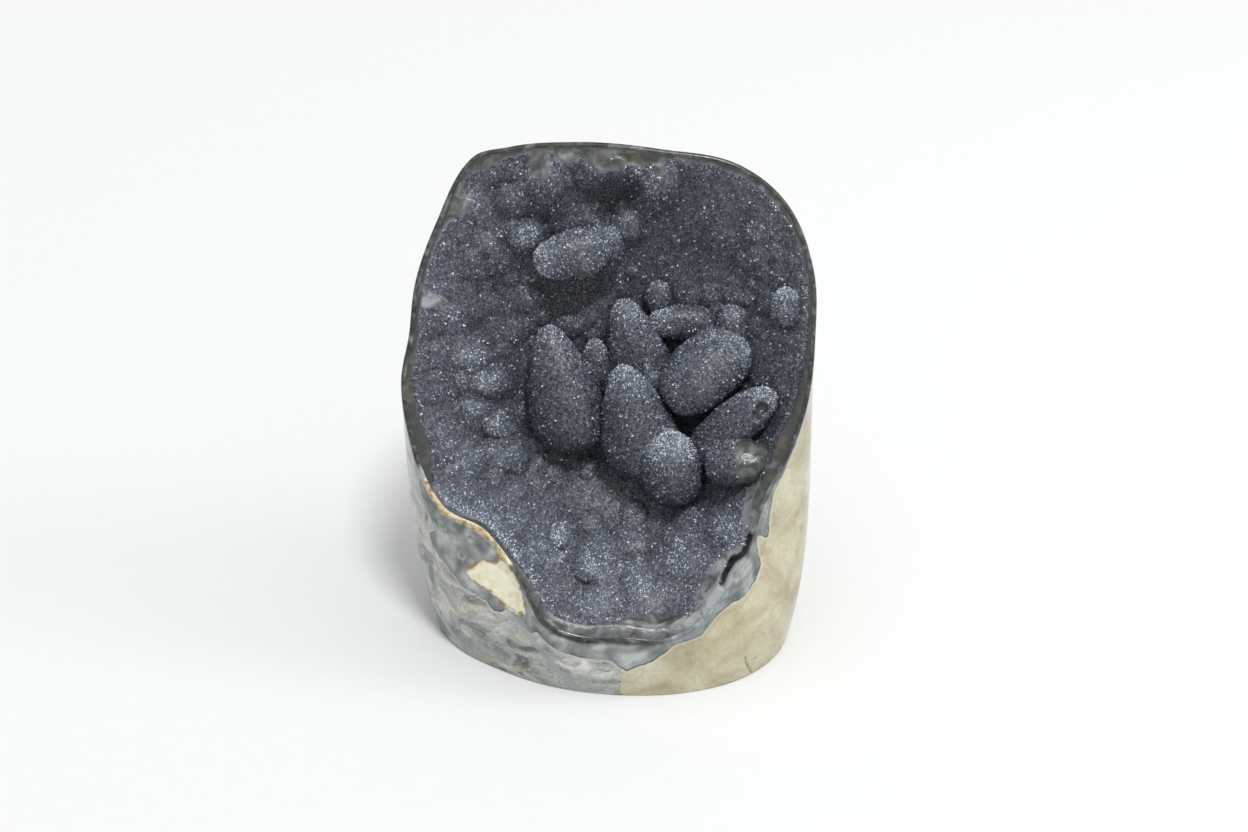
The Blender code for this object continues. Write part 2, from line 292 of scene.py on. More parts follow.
@dataclass
class Hollow:
    """The hollow behind the cut and the crust that lines it.

    Attributes:
        cut: The slanted cut that opens the hollow.
        depth: Depth of the hollow's middle.
        half_width: Half the width over which the bowl is round.
        half_length: Half the length over which the bowl is round.
        power: How flat the bottom of the bowl is.
        skew: How much deeper the hollow is at its foot than at its top.
        crust: Thickness of the crust.
        gap: Gap between the crust's hidden side and the stone.
        polish_depth: Depth under the cut to which the lumps are polished away.
        wave: Height and width of the crust's slow waves.
        lumps: Lumps and ledges of the crust.
        recess: Dark recess under the top.
        knolls: Small round heads on the lumps, as (x, v, radius, height).
        margin: Smooth margin inside the rim, as (degrees, width, tone).
        hollows: Small hollows between the heads.
        shoulders: Rises that the buds on the wall grow from.
        deep: Stretches of painted shade, where the crust is darkest: the recess under the top, under the bud
            on the wall and round the crystals.
        slit: Open slit between the crust and the agate, in front at the right.
        slit_depth: Depth of that slit.
        bump_rise: Height of a small bump over its radius.
        grain_wave: Height of the finest waves.
        map_step: Step of the map of how open the crust is.
        map_reach: Half the width and the length of that map.
        near_width: Width of the surroundings for the small heads.
        far_width: Width of the surroundings for the large lumps.
        seed: Seed of the small bumps.
        patches: Stretches that are covered with small bumps.
        polished: Stretches that have no points.
        bumps: The small bumps, scattered once from the seed.
        openness: The map of how open the crust is, made once; the crust's tone takes painted shade and
            painted light from it.
    """

    cut: SlantedCut
    depth: float = 25.0
    half_width: float = 42.0
    half_length: float = 54.0
    power: float = 2.3
    skew: float = 0.34
    crust: float = 3.0
    gap: float = 0.35
    polish_depth: float = 0.4
    wave: tuple[float, float] = (0.9, 9.0)
    lumps: tuple[Lump, ...] = (
        Lump(-26.5, 103.0, 6.0, 2.5),
        Lump(-13.5, 101.0, 10.0, 6.0),
        Lump(-19.5, 96.0, 6.5, 4.0),
        Lump(-1.5, 104.0, 10.0, 7.0),
        Lump(10.0, 101.0, 9.0, 4.5),
        Lump(-31.0, 93.5, 9.0, 4.0),
        Lump(-26.0, 86.0, 8.0, 3.5),
        Lump(-18.5, 88.5, 6.5, 4.5),
        Lump(-37.0, 76.0, 7.5, 2.5),
        Lump(-34.5, 71.0, 7.5, 3.5),
        Lump(-34.0, 61.0, 11.0, 3.5),
        Lump(-29.5, 61.5, 6.5, 4.5),
        Lump(-26.0, 56.5, 6.5, 5.0),
        Lump(-29.0, 50.5, 6.5, 4.0),
        Lump(-24.0, 47.5, 6.0, 3.5),
        Lump(-35.0, 45.0, 8.5, 2.5),
        Lump(-30.5, 40.0, 7.5, 3.0),
        Lump(-23.0, 40.5, 6.5, 3.0),
        Lump(-12.0, 21.5, 7.5, 3.0),
        Lump(-2.0, 16.5, 8.0, 3.5),
        Lump(7.5, 12.5, 7.5, 3.0),
        Lump(-3.0, 9.5, 6.0, 2.5),
        Lump(17.0, 18.0, 7.5, 2.5),
        Lump(26.0, 24.0, 6.5, 3.0),
        Lump(33.0, 88.0, 10.0, 2.5),
        Lump(24.0, 94.0, 11.0, 2.5),
    )
    recess: Lump = Lump(1.0, 97.0, 8.0, -2.2)
    patches: tuple[BumpPatch, ...] = (
        BumpPatch(-27.0, 90.0, 18.0, 24.0, 90, (1.4, 3.4)),
        BumpPatch(-8.0, 100.0, 26.0, 8.0, 50, (1.4, 3.0)),
        BumpPatch(-33.0, 60.0, 12.0, 26.0, 80, (1.3, 3.2)),
        BumpPatch(-26.0, 40.0, 14.0, 14.0, 60, (1.2, 3.0)),
        BumpPatch(0.0, 12.0, 30.0, 12.0, 70, (2.0, 4.6)),
        BumpPatch(26.0, 26.0, 10.0, 18.0, 24, (1.6, 3.4)),
        BumpPatch(34.0, 80.0, 12.0, 34.0, 50, (1.2, 2.6)),
        BumpPatch(0.0, 55.0, 70.0, 80.0, 160, (1.0, 2.0)),
    )
    polished: tuple[PolishedPatch, ...] = (
        PolishedPatch(-26.4, 105.0, 3.6, 2.2, 20.0, 0.0),
        PolishedPatch(-8.8, 105.2, 3.4, 1.6, 0.0, -0.1),
        PolishedPatch(6.5, 105.0, 4.6, 1.8, 0.0, -0.5),
        PolishedPatch(-38.3, 74.6, 3.8, 1.9, -10.0, -0.1),
        PolishedPatch(24.4, 14.6, 3.0, 9.0, -38.0, 0.0),
        PolishedPatch(9.0, 4.4, 11.0, 2.4, 6.0, -0.4),
        PolishedPatch(31.2, 30.5, 1.8, 6.5, -16.0, -0.2),
    )
    knolls: tuple[tuple[float, float, float, float], ...] = (
        (-25.5, 105.0, 3.3, 1.6), (-14.5, 103.3, 3.1, 2.0), (-16.4, 101.2, 2.2, 1.8),
        (-12.6, 101.0, 2.2, 1.6),
        (-18.2, 98.7, 2.7, 1.6), (-20.1, 102.1, 2.0, 1.4), (-29.5, 95.4, 3.5, 2.0), (-26.4, 94.0, 3.1, 1.8),
        (-31.2, 93.5, 2.6, 1.4), (-26.1, 86.9, 2.4, 1.8), (-27.5, 88.4, 2.0, 1.3), (-24.9, 85.4, 1.8, 1.1),
        (-33.9, 85.8, 2.4, 1.6), (-35.5, 87.5, 1.8, 1.1), (-31.9, 84.1, 1.6, 0.9), (-16.9, 88.0, 3.8, 2.2),
        (-8.5, 105.0, 3.5, 1.8), (-3.8, 105.0, 3.1, 2.0), (-1.0, 103.0, 2.8, 3.2), (2.4, 102.6, 2.8, 3.6),
        (5.6, 103.4, 2.8, 3.6), (8.8, 105.0, 2.6, 2.6), (11.2, 100.8, 4.4, 3.4), (10.2, 98.3, 2.6, 1.8),
        (-37.2, 82.8, 1.8, 0.9), (5.0, 81.1, 1.4, 0.8), (-33.7, 72.5, 2.9, 1.2), (-28.0, 73.4, 1.4, 0.7),
        (-31.5, 61.8, 2.7, 1.9), (-29.6, 56.6, 4.0, 2.4), (-40.3, 55.5, 1.8, 1.0), (-39.5, 52.8, 1.8, 1.0),
        (-29.5, 50.3, 2.9, 1.6), (-25.6, 47.0, 2.9, 1.8), (-33.7, 42.4, 2.9, 1.5), (-25.6, 41.7, 2.9, 1.4),
        (-36.1, 40.9, 1.3, 0.8), (-30.1, 39.2, 2.0, 1.0), (-33.2, 67.0, 2.7, 1.1), (-36.3, 63.8, 2.7, 0.9),
        (-10.2, 22.8, 2.9, 2.0), (-10.6, 16.2, 3.4, 2.6), (-4.7, 16.6, 4.1, 2.6), (5.0, 15.8, 3.8, 2.5),
        (0.0, 9.7, 3.8, 2.5), (11.5, 17.1, 3.2, 1.6), (18.0, 20.7, 3.6, 1.2), (9.2, 9.1, 4.0, 1.6),
        (-13.8, 20.2, 1.8, 0.9), (-6.8, 9.1, 2.7, 1.0), (25.6, 25.5, 5.0, 2.2), (27.0, 20.0, 2.7, 1.4),
        (36.2, 42.2, 2.0, 1.2), (39.2, 84.3, 3.5, 1.0), (35.3, 68.1, 3.1, 0.8), (36.4, 59.4, 3.1, 0.9),
        (33.3, 63.6, 2.7, 0.8), (28.3, 100.3, 4.4, 1.0), (23.1, 98.3, 4.0, 0.8), (19.8, 102.5, 3.5, 0.8),
        (-23.9, 67.9, 3.2, 0.6), (-19.5, 74.5, 2.7, 0.6), (-23.0, 103.5, 2.2, 1.0), (-21.1, 93.0, 2.2, 0.8),
        (15.7, 89.8, 3.6, 0.6), (24.4, 87.6, 4.0, 0.6), (-1.8, 74.4, 2.7, 0.5),
    )
    hollows: tuple[Lump, ...] = (
        Lump(-0.5, 93.3, 3.2, -1.4), Lump(0.5, 98.2, 3.0, -3.4, 1.0), Lump(4.6, 98.9, 3.0, -3.6, 1.0),
        Lump(-3.4, 97.0, 2.6, -2.2, 1.0), Lump(-7.0, 79.0, 9.0, -2.0, 1.0),
    )
    shoulders: tuple[Lump, ...] = (Lump(-6.0, 91.0, 8.0, 4.0, 1.0), Lump(3.0, 90.0, 5.0, 3.0, 1.0))
    deep: tuple[Lump, ...] = (
        Lump(1.5, 98.0, 6.5, -1.6, 1.0), Lump(-6.5, 95.8, 5.5, -1.0, 1.0), Lump(-9.0, 78.0, 9.0, -0.9, 1.0),
        Lump(12.0, 90.0, 14.0, -0.35, 1.0), Lump(-1.0, 64.0, 12.0, -0.4, 1.0),
    )
    margin: tuple[tuple[float, float, float], ...] = (
        (0.0, 0.9, -0.8), (30.0, 0.4, -0.7), (60.0, 0.25, -0.7), (100.0, 0.25, -0.7), (140.0, 0.3, -0.7),
        (165.0, 0.5, -0.6), (180.0, 1.0, -0.7), (190.0, 2.2, -0.8), (199.0, 3.0, -0.9), (207.0, 1.5, -0.9),
        (212.0, 0.4, -0.6), (240.0, 0.5, -0.6), (255.0, 2.2, -0.2), (270.0, 3.0, -0.3), (283.0, 2.4, -0.1),
        (290.0, 2.0, 0.3), (300.0, 2.6, 0.8), (307.0, 1.4, 0.6), (312.0, 1.0, 0.2), (320.0, 1.5, -0.3),
        (330.0, 2.2, -0.8), (341.0, 2.8, -0.9), (347.0, 1.8, -0.9), (360.0, 1.2, -0.8),
    )
    slit: CutLine = CutLine((
        (30.7, 23.6), (29.4, 20.0), (27.2, 18.4), (25.5, 15.7), (24.6, 13.6),
    ))
    slit_depth: float = 1.5
    bump_rise: float = 0.45
    grain_wave: float = 0.22
    map_step: float = 0.5
    map_reach: Place = (46.0, 112.0)
    near_width: float = 1.3
    far_width: float = 4.5
    seed: int = 11
    bumps: np.ndarray = field(init=False)
    openness: np.ndarray = field(init=False)

    def __post_init__(self) -> None:
        """Scatter the small bumps and map the crust once, so that every piece reads the same."""
        random = np.random.default_rng(self.seed)
        self.bumps = np.concatenate([patch.bumps(random) for patch in self.patches])
        self.openness = self.map_openness()

    def map_openness(self) -> np.ndarray:
        """Return on a square grid how far the crust stands over what is near, from -1 to 1."""
        across = np.arange(-self.map_reach[0], self.map_reach[0], self.map_step)
        x, v = np.meshgrid(across, np.arange(0.0, self.map_reach[1], self.map_step))
        inside = (self.cut.fraction(x, v) < 1.0).astype(float)
        height = self.surface(x.ravel(), v.ravel()).reshape(x.shape)
        near = (height - self.blurred(height, inside, self.near_width)) / 0.55
        far = (height - self.blurred(height, inside, self.far_width)) / 2.6
        return 0.65 * np.clip(near, -1.0, 1.0) + 0.45 * np.clip(far, -1.0, 1.0)

    def blurred(self, height: np.ndarray, inside: np.ndarray, width: float) -> np.ndarray:
        """Return a map averaged over its surroundings.

        Args:
            height: The map.
            inside: 1 where the map counts and 0 outside the rim.
            width: Width of the surroundings, in millimetres.

        Returns:
            The averaged map.
        """
        reach = int(3.0 * width / self.map_step)
        weights = np.exp(-0.5 * (np.arange(-reach, reach + 1) * self.map_step / width) ** 2)
        total, count = height * inside, inside
        for axis in (0, 1):
            total = np.apply_along_axis(np.convolve, axis, total, weights, "same")
            count = np.apply_along_axis(np.convolve, axis, count, weights, "same")
        return total / np.maximum(count, 1e-6)

    def openness_at(self, x: np.ndarray, v: np.ndarray) -> np.ndarray:
        """Return how far the crust stands over what is near, read from the map."""
        rows, columns = self.openness.shape
        column = np.clip((x + self.map_reach[0]) / self.map_step, 0.0, columns - 1.001)
        row = np.clip(v / self.map_step, 0.0, rows - 1.001)
        i, j = column.astype(int), row.astype(int)
        a, b = column - i, row - j
        low = self.openness[j, i] * (1.0 - a) + self.openness[j, i + 1] * a
        high = self.openness[j + 1, i] * (1.0 - a) + self.openness[j + 1, i + 1] * a
        return low * (1.0 - b) + high * b

    def bowl(self, x: np.ndarray, v: np.ndarray) -> np.ndarray:
        """Return the smooth height of the hollow, round within and following the rim outside.

        Args:
            x: Places across the cut.
            v: Places up the cut.

        Returns:
            Heights over the cut, all of them 0 or less.
        """
        rim = np.minimum(self.cut.fraction(x, v), 1.0)
        middle = self.cut.rim.middle
        across, along = (x - middle[0]) / self.half_width, (v - middle[1]) / self.half_length
        round_bowl = np.minimum(np.hypot(across, along), 1.0)
        share = round_bowl + (rim - round_bowl) * rim**3
        skew = 1.0 - self.skew * (v - middle[1]) / middle[1]
        return -self.depth * (1.0 - share**self.power) * skew

    def form(self, x: np.ndarray, v: np.ndarray) -> np.ndarray:
        """Return the height of the crust as its solid has it.

        Args:
            x: Places across the cut.
            v: Places up the cut.

        Returns:
            Heights over the cut.
        """
        lumps = np.max([lump.rise(x, v) for lump in self.lumps], axis=0)
        lumps = lumps + self.recess.rise(x, v)
        waves = self.wave[0] * cloud(flat(x, v), self.wave[1])
        inside = 1.0 - np.minimum(self.cut.fraction(x, v), 1.0) ** 6
        return np.minimum(self.bowl(x, v) + (lumps + waves) * inside, -self.polish_depth)

    def relief(self, x: np.ndarray, v: np.ndarray) -> np.ndarray:
        """Return the height of the small bumps on the crust.

        Args:
            x: Places across the cut.
            v: Places up the cut.

        Returns:
            Heights over the form of the crust, all of them 0 or more.
        """
        height = np.zeros_like(x)
        for across, along, radius in self.bumps:
            near = np.flatnonzero((np.abs(x - across) < radius) & (np.abs(v - along) < radius))
            reach = ((x[near] - across) ** 2 + (v[near] - along) ** 2) / radius**2
            cap = self.bump_rise * radius * np.sqrt(np.clip(1.0 - reach, 0.0, 1.0))
            height[near] = np.maximum(height[near], cap)
        return height

    def heads(self, x: np.ndarray, v: np.ndarray) -> np.ndarray:
        """Return what the round heads, the hollows between them and the shoulders add."""
        heads = np.max([Lump(*knoll, softness=0.5).rise(x, v) for knoll in self.knolls], axis=0)
        rises = np.max([lump.rise(x, v) for lump in self.shoulders], axis=0)
        return heads + rises + np.min([lump.rise(x, v) for lump in self.hollows], axis=0)

    def at_rim(self, x: np.ndarray, v: np.ndarray) -> tuple[np.ndarray, np.ndarray, np.ndarray]:
        """Return the distance to the rim and the width and tone of the smooth margin there."""
        middle = self.cut.rim.middle
        angle = np.arctan2(v - middle[1], x - middle[0])
        to_rim = self.cut.rim.distance(angle) * (1.0 - self.cut.fraction(x, v))
        degrees, widths, tones = np.array(self.margin).T
        turn = np.degrees(angle) % 360.0
        return to_rim, np.interp(turn, degrees, widths), np.interp(turn, degrees, tones)

    def surface(self, x: np.ndarray, v: np.ndarray) -> np.ndarray:
        """Return the height of the crust with its small bumps.

        Args:
            x: Places across the cut.
            v: Places up the cut.

        Returns:
            Heights over the cut, polished flat where they would reach it.
        """
        inside = 1.0 - np.minimum(self.cut.fraction(x, v), 1.0) ** 8
        fine = self.grain_wave * cloud(flat(x, v), 1.7, seed=3)
        added = np.maximum(self.relief(x, v), self.heads(x, v)) + np.minimum(self.heads(x, v), 0.0)
        height = np.minimum(self.form(x, v) + (added + fine) * inside, -self.polish_depth)
        to_rim, width, _ = self.at_rim(x, v)
        shelf = np.maximum(height, -self.polish_depth - 0.5 * (to_rim / width) ** 2)
        share = 1.0 - smoothstep(width, width + 1.0, to_rim)
        height = height + (shelf - height) * share
        return height - self.slit_depth * (1.0 - smoothstep(0.35, 0.95, self.slit.distance(x, v)))

    def smoothness(self, x: np.ndarray, v: np.ndarray) -> np.ndarray:
        """Return 1 where the crust is smooth and 0 where points cover it.

        Args:
            x: Places across the cut.
            v: Places up the cut.

        Returns:
            One value from 0 to 1 for each place.
        """
        to_rim, width, _ = self.at_rim(x, v)
        smooth = 1.0 - smoothstep(width - 0.3, width + 0.7, to_rim + 0.5 * cloud(flat(x, v), 2.5, seed=5))
        for patch in self.polished:
            smooth = np.maximum(smooth, patch.share(x, v))
        level = -self.polish_depth
        return np.maximum(smooth, smoothstep(level - 0.35, level - 0.12, self.surface(x, v)))

    def tone_and_painted_light(self, x: np.ndarray, v: np.ndarray) -> np.ndarray:
        """Return how pale the crust is, from -1 for dark to 1 for pale, with painted shade and painted light
        in it.
        """
        # A random cloud of the crust's own tone, plus painted shade in the hollows and painted light on the
        # heads, read from the openness map.
        tone = 0.2 * cloud(flat(x, v), 14.0, seed=7) + self.openness_at(x, v)
        # Painted light: the lower part of the hollow, which faces up, is paler.
        tone = tone + 0.42 * (1.0 - smoothstep(15.0, 60.0, v)) - 0.12
        # Painted shade in the recess, under the bud on the wall and round the crystals.
        tone = tone + np.min([stretch.rise(x, v) for stretch in self.deep], axis=0)
        level = -self.polish_depth
        flats = smoothstep(level - 0.35, level - 0.12, self.surface(x, v))
        tone = tone + (-0.25 - tone) * flats
        to_rim, width, edge_tone = self.at_rim(x, v)
        near = 1.0 - smoothstep(width, width + 0.6, to_rim)
        tone = tone + (edge_tone - tone) * near
        for patch in self.polished:
            tone = tone + patch.tone * patch.share(x, v) * (1.0 - near)
        return tone


@dataclass(frozen=True)
class OuterSkin:
    """The polished outside of the stone, from its edge on the cut down to the sawn foot.

    Attributes:
        cut: The slanted cut.
        foot: Outline of the sawn foot.
        edge_width: Width of the polished edge on the cut.
        edge_drop: Drop of the polished edge at its outer side.
        front_leave: Direction in which the skin leaves the front edge.
        back_leave: Direction in which the skin leaves the back edge.
        share_power: How late the back's direction takes over from the front's.
        front_bulge: How full the skin is in front.
        back_bulge: How full the skin is behind.
        foot_bulge: How straight the skin meets the foot.
        foot_tuck: How much the skin draws in above the foot.
        belly: Extra fullness at the sides.
    """

    cut: SlantedCut
    foot: PolarOutline = PolarOutline(
        points=(
            (4.6, -32.2), (17.6, -31.1), (30.8, -25.1), (39.0, -14.5), (41.0, -2.0),
            (37.0, 11.0), (25.0, 19.5), (8.0, 23.0), (-12.0, 22.0), (-29.0, 16.0),
            (-37.5, 5.0), (-38.9, -5.0), (-34.5, -13.6), (-22.9, -23.5), (-8.2, -30.3),
        ),
        middle=(1.0, -3.0),
    )
    edge_width: float = 1.1
    edge_drop: float = 0.9
    front_leave: tuple[float, float, float] = (0.0, 0.0, -1.0)
    back_leave: tuple[float, float, float] = (0.0, 1.0, -0.5)
    share_power: float = 1.5
    front_bulge: float = 0.30
    back_bulge: float = 0.29
    foot_bulge: float = 0.34
    foot_tuck: float = 0.25
    belly: float = 0.4

    def point(self, angle: np.ndarray, t: np.ndarray) -> np.ndarray:
        """Return points of the skin in the frame of the part.

        Args:
            angle: Directions round the stone, in radians.
            t: 0 at the polished edge and 1 at the foot.

        Returns:
            Rows of x, y and z in millimetres.
        """
        angle, t = np.broadcast_arrays(np.asarray(angle, float), np.asarray(t, float))
        outer = self.cut.rim_place(angle, self.edge_width)
        drop = np.full(angle.shape + (1,), -self.edge_drop)
        top = self.cut.to_part(np.concatenate([outer, drop], axis=-1))
        out = np.stack([np.cos(angle), np.sin(angle), np.zeros_like(angle)], axis=-1)
        middle = np.array([*self.foot.middle, 0.0])
        foot = middle + self.foot.distance(angle)[..., None] * out
        span = np.linalg.norm(top - foot, axis=-1)[..., None]
        rise = np.clip(outer[..., 1:] / self.cut.length, 0.0, 1.0) ** self.share_power
        leave = unit(np.array(self.front_leave) * (1.0 - rise) + np.array(self.back_leave) * rise)
        leave = leave * span * (self.front_bulge + (self.back_bulge - self.front_bulge) * rise)
        arrive = unit(np.array([0.0, 0.0, -1.0]) - self.foot_tuck * out) * span * self.foot_bulge
        t = t[..., None]
        return (
            top * (1 + 2 * t) * (1 - t) ** 2
            + leave * 3 * t * (1 - t) ** 2
            + foot * t * t * (3 - 2 * t)
            + arrive * 3 * t * t * (t - 1)
            + self.belly * np.abs(out[..., :1]) * out * 4.0 * t * (1.0 - t)
        )

    def drop(self, angle: np.ndarray, t: np.ndarray, steps: int = 24) -> np.ndarray:
        """Return how far each place lies below the edge, measured down the skin.

        Args:
            angle: Directions round the stone, in radians.
            t: 0 at the polished edge and 1 at the foot.
            steps: Number of straight runs that the length is summed over.

        Returns:
            Lengths in millimetres.
        """
        length = np.zeros_like(angle)
        last = self.point(angle, np.zeros_like(t))
        for step in range(1, steps + 1):
            here = self.point(angle, t * step / steps)
            length = length + np.linalg.norm(here - last, axis=-1)
            last = here
        return length

    def at(self, degrees: float, below: float) -> np.ndarray:
        """Return the place of the skin in one direction at a length below the edge."""
        angle = np.full(201, math.radians(degrees))
        column = self.point(angle, np.linspace(0.0, 1.0, 201))
        runs = np.linalg.norm(np.diff(column, axis=0), axis=1)
        lengths = np.concatenate([[0.0], np.cumsum(runs)])
        return np.array([np.interp(below, lengths, column[:, axis]) for axis in range(3)])


@dataclass(frozen=True)
class SkinLine:
    """A line on the outer skin, as (degrees round the stone, millimetres below the edge)."""

    points: tuple[Place, ...]

    def distance(self, skin: OuterSkin, places: np.ndarray) -> np.ndarray:
        """Return how far places lie from the line.

        Args:
            skin: The skin that the line lies on.
            places: Places in the frame of the part, in millimetres.

        Returns:
            Distances in millimetres.
        """
        corners = [skin.at(degrees, below) for degrees, below in self.points]
        nearest = np.full(len(places), np.inf)
        for start, end in zip(corners, corners[1:] or corners):
            run = end - start
            share = np.clip((places - start) @ run / max(run @ run, 1e-9), 0.0, 1.0)
            nearest = np.minimum(nearest, np.linalg.norm(places - start - share[:, None] * run, axis=1))
        return nearest

    def signed(self, skin: OuterSkin, places: np.ndarray, around: np.ndarray,
               closing: tuple[Place, ...] = ()) -> np.ndarray:
        """Return the distance from the line, negative within the zone that it bounds.

        Args:
            skin: The skin that the line lies on.
            places: Places in the frame of the part, in millimetres.
            around: The same places as rows of degrees and millimetres below the edge.
            closing: Further corners that close the zone where the line doesn't.

        Returns:
            Signed distances in millimetres.
        """
        corners = np.array(self.points + closing)
        inside = np.zeros(len(places), bool)
        for (a, b), (c, d) in zip(corners, np.roll(corners, -1, axis=0)):
            if b == d:
                continue
            crosses = (around[:, 1] < b) != (around[:, 1] < d)
            at_degrees = a + (around[:, 1] - b) * (c - a) / (d - b)
            inside ^= crosses & (around[:, 0] < at_degrees)
        return np.where(inside, -1.0, 1.0) * self.distance(skin, places)


def write_attribute(data: bpy.types.Mesh, name: str, values: np.ndarray) -> None:
    """Store one number for each vertex, for the materials to read."""
    stored = data.attributes.new(name, "FLOAT", "POINT")
    stored.data.foreach_set("value", np.ascontiguousarray(values, np.float32))


def read_places(data: bpy.types.Mesh) -> np.ndarray:
    """Return the places of a mesh's vertices, one a row."""
    places = np.empty(len(data.vertices) * 3, np.float32)
    data.vertices.foreach_get("co", places)
    return places.reshape(-1, 3).astype(float)


def write_places(data: bpy.types.Mesh, places: np.ndarray) -> None:
    """Move a mesh's vertices to new places, one a row."""
    data.vertices.foreach_set("co", np.ascontiguousarray(places, np.float32).ravel())
    data.update()


def new_object(name: str, data: bpy.types.Mesh) -> bpy.types.Object:
    """Put a mesh in the scene as an object."""
    piece = bpy.data.objects.new(name, data)
    bpy.context.scene.collection.objects.link(piece)
    return piece


def hand_over(piece: bpy.types.Object, nodes: tuple[str, ...]) -> bpy.types.Object:
    """Scale a piece from millimetres to metres, attach it and hide the solids that it stands for.

    Args:
        piece: The finished piece, modelled in millimetres.
        nodes: The solids that the piece stands for.

    Returns:
        The same piece.
    """
    piece.data.transform(Matrix.Scale(MM, 4))
    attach(piece, BODY)
    if nodes:
        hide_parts(*nodes)
    triangles = sum(len(face.vertices) - 2 for face in piece.data.polygons)
    log.info("%s: %d triangles", piece.name, triangles)
    return piece


class CutSheet:
    """A sheet over the whole cut, made from a square grid whose edge follows the rim."""

    def __init__(self, cut: SlantedCut, mesh: bmesh.types.BMesh) -> None:
        """Take the cut and the mesh that sheets and rings are added to."""
        self.cut = cut
        self.mesh = mesh
        self.direction = mesh.verts.layers.float.new("direction")
        self.course = mesh.verts.layers.float.new("course")

    def add(self, cells: int, height: object, inset: float) -> list[bmesh.types.BMEdge]:
        """Add one sheet.

        Args:
            cells: Number of cells along each side of the grid.
            height: A function of x and v that gives the sheet's height over the cut.
            inset: How far inside the rim the sheet ends.

        Returns:
            The edges round the sheet.
        """
        grid = bmesh.ops.create_grid(self.mesh, x_segments=cells, y_segments=cells, size=1.0)
        square = np.array([point.co.xy for point in grid["verts"]])
        a, b = square[:, 0], square[:, 1]
        wide = np.abs(a) >= np.abs(b)
        long, short = np.where(wide, a, b), np.where(wide, b, a)
        quarter = math.pi / 4.0 * short / np.where(np.abs(long) < 1e-9, 1.0, long)
        angle = np.where(wide, quarter, math.pi / 2.0 - quarter) + np.where(long < 0.0, math.pi, 0.0)
        middle = np.array(self.cut.rim.middle)
        place = middle + np.abs(long)[:, None] * (self.cut.rim_place(angle, -inset) - middle)
        heights = height(place[:, 0], place[:, 1])
        for point, turn, (x, v), w in zip(grid["verts"], angle, place, heights):
            point.co = (x, v, w)
            point[self.direction] = turn
        edges = dict.fromkeys(edge for point in grid["verts"] for edge in point.link_edges)
        return [edge for edge in edges if edge.is_boundary]

    def add_ring(self, edges: list[bmesh.types.BMEdge], place: object, course: float) -> list:
        """Extrude a closed row of edges.

        Args:
            edges: The row to extrude.
            place: A function that gives the new points from their directions.
            course: Number kept on the new points, which says how far down they are.

        Returns:
            The new row of edges.
        """
        grown = bmesh.ops.extrude_edge_only(self.mesh, edges=edges)["geom"]
        points = [point for point in grown if isinstance(point, bmesh.types.BMVert)]
        angles = np.array([point[self.direction] for point in points])
        for point, co in zip(points, place(angles)):
            point.co = co
            point[self.course] = course
        return [edge for edge in grown if isinstance(edge, bmesh.types.BMEdge)]


def finish_mesh(mesh: bmesh.types.BMesh, name: str, matrix: Matrix = Matrix()) -> bpy.types.Mesh:
    """Turn a closed bmesh's faces outward, move it and make it mesh data."""
    bmesh.ops.transform(mesh, matrix=matrix, verts=mesh.verts)
    bmesh.ops.recalc_face_normals(mesh, faces=mesh.faces)
    data = bpy.data.meshes.new(name)
    mesh.to_mesh(data)
    mesh.free()
    return data


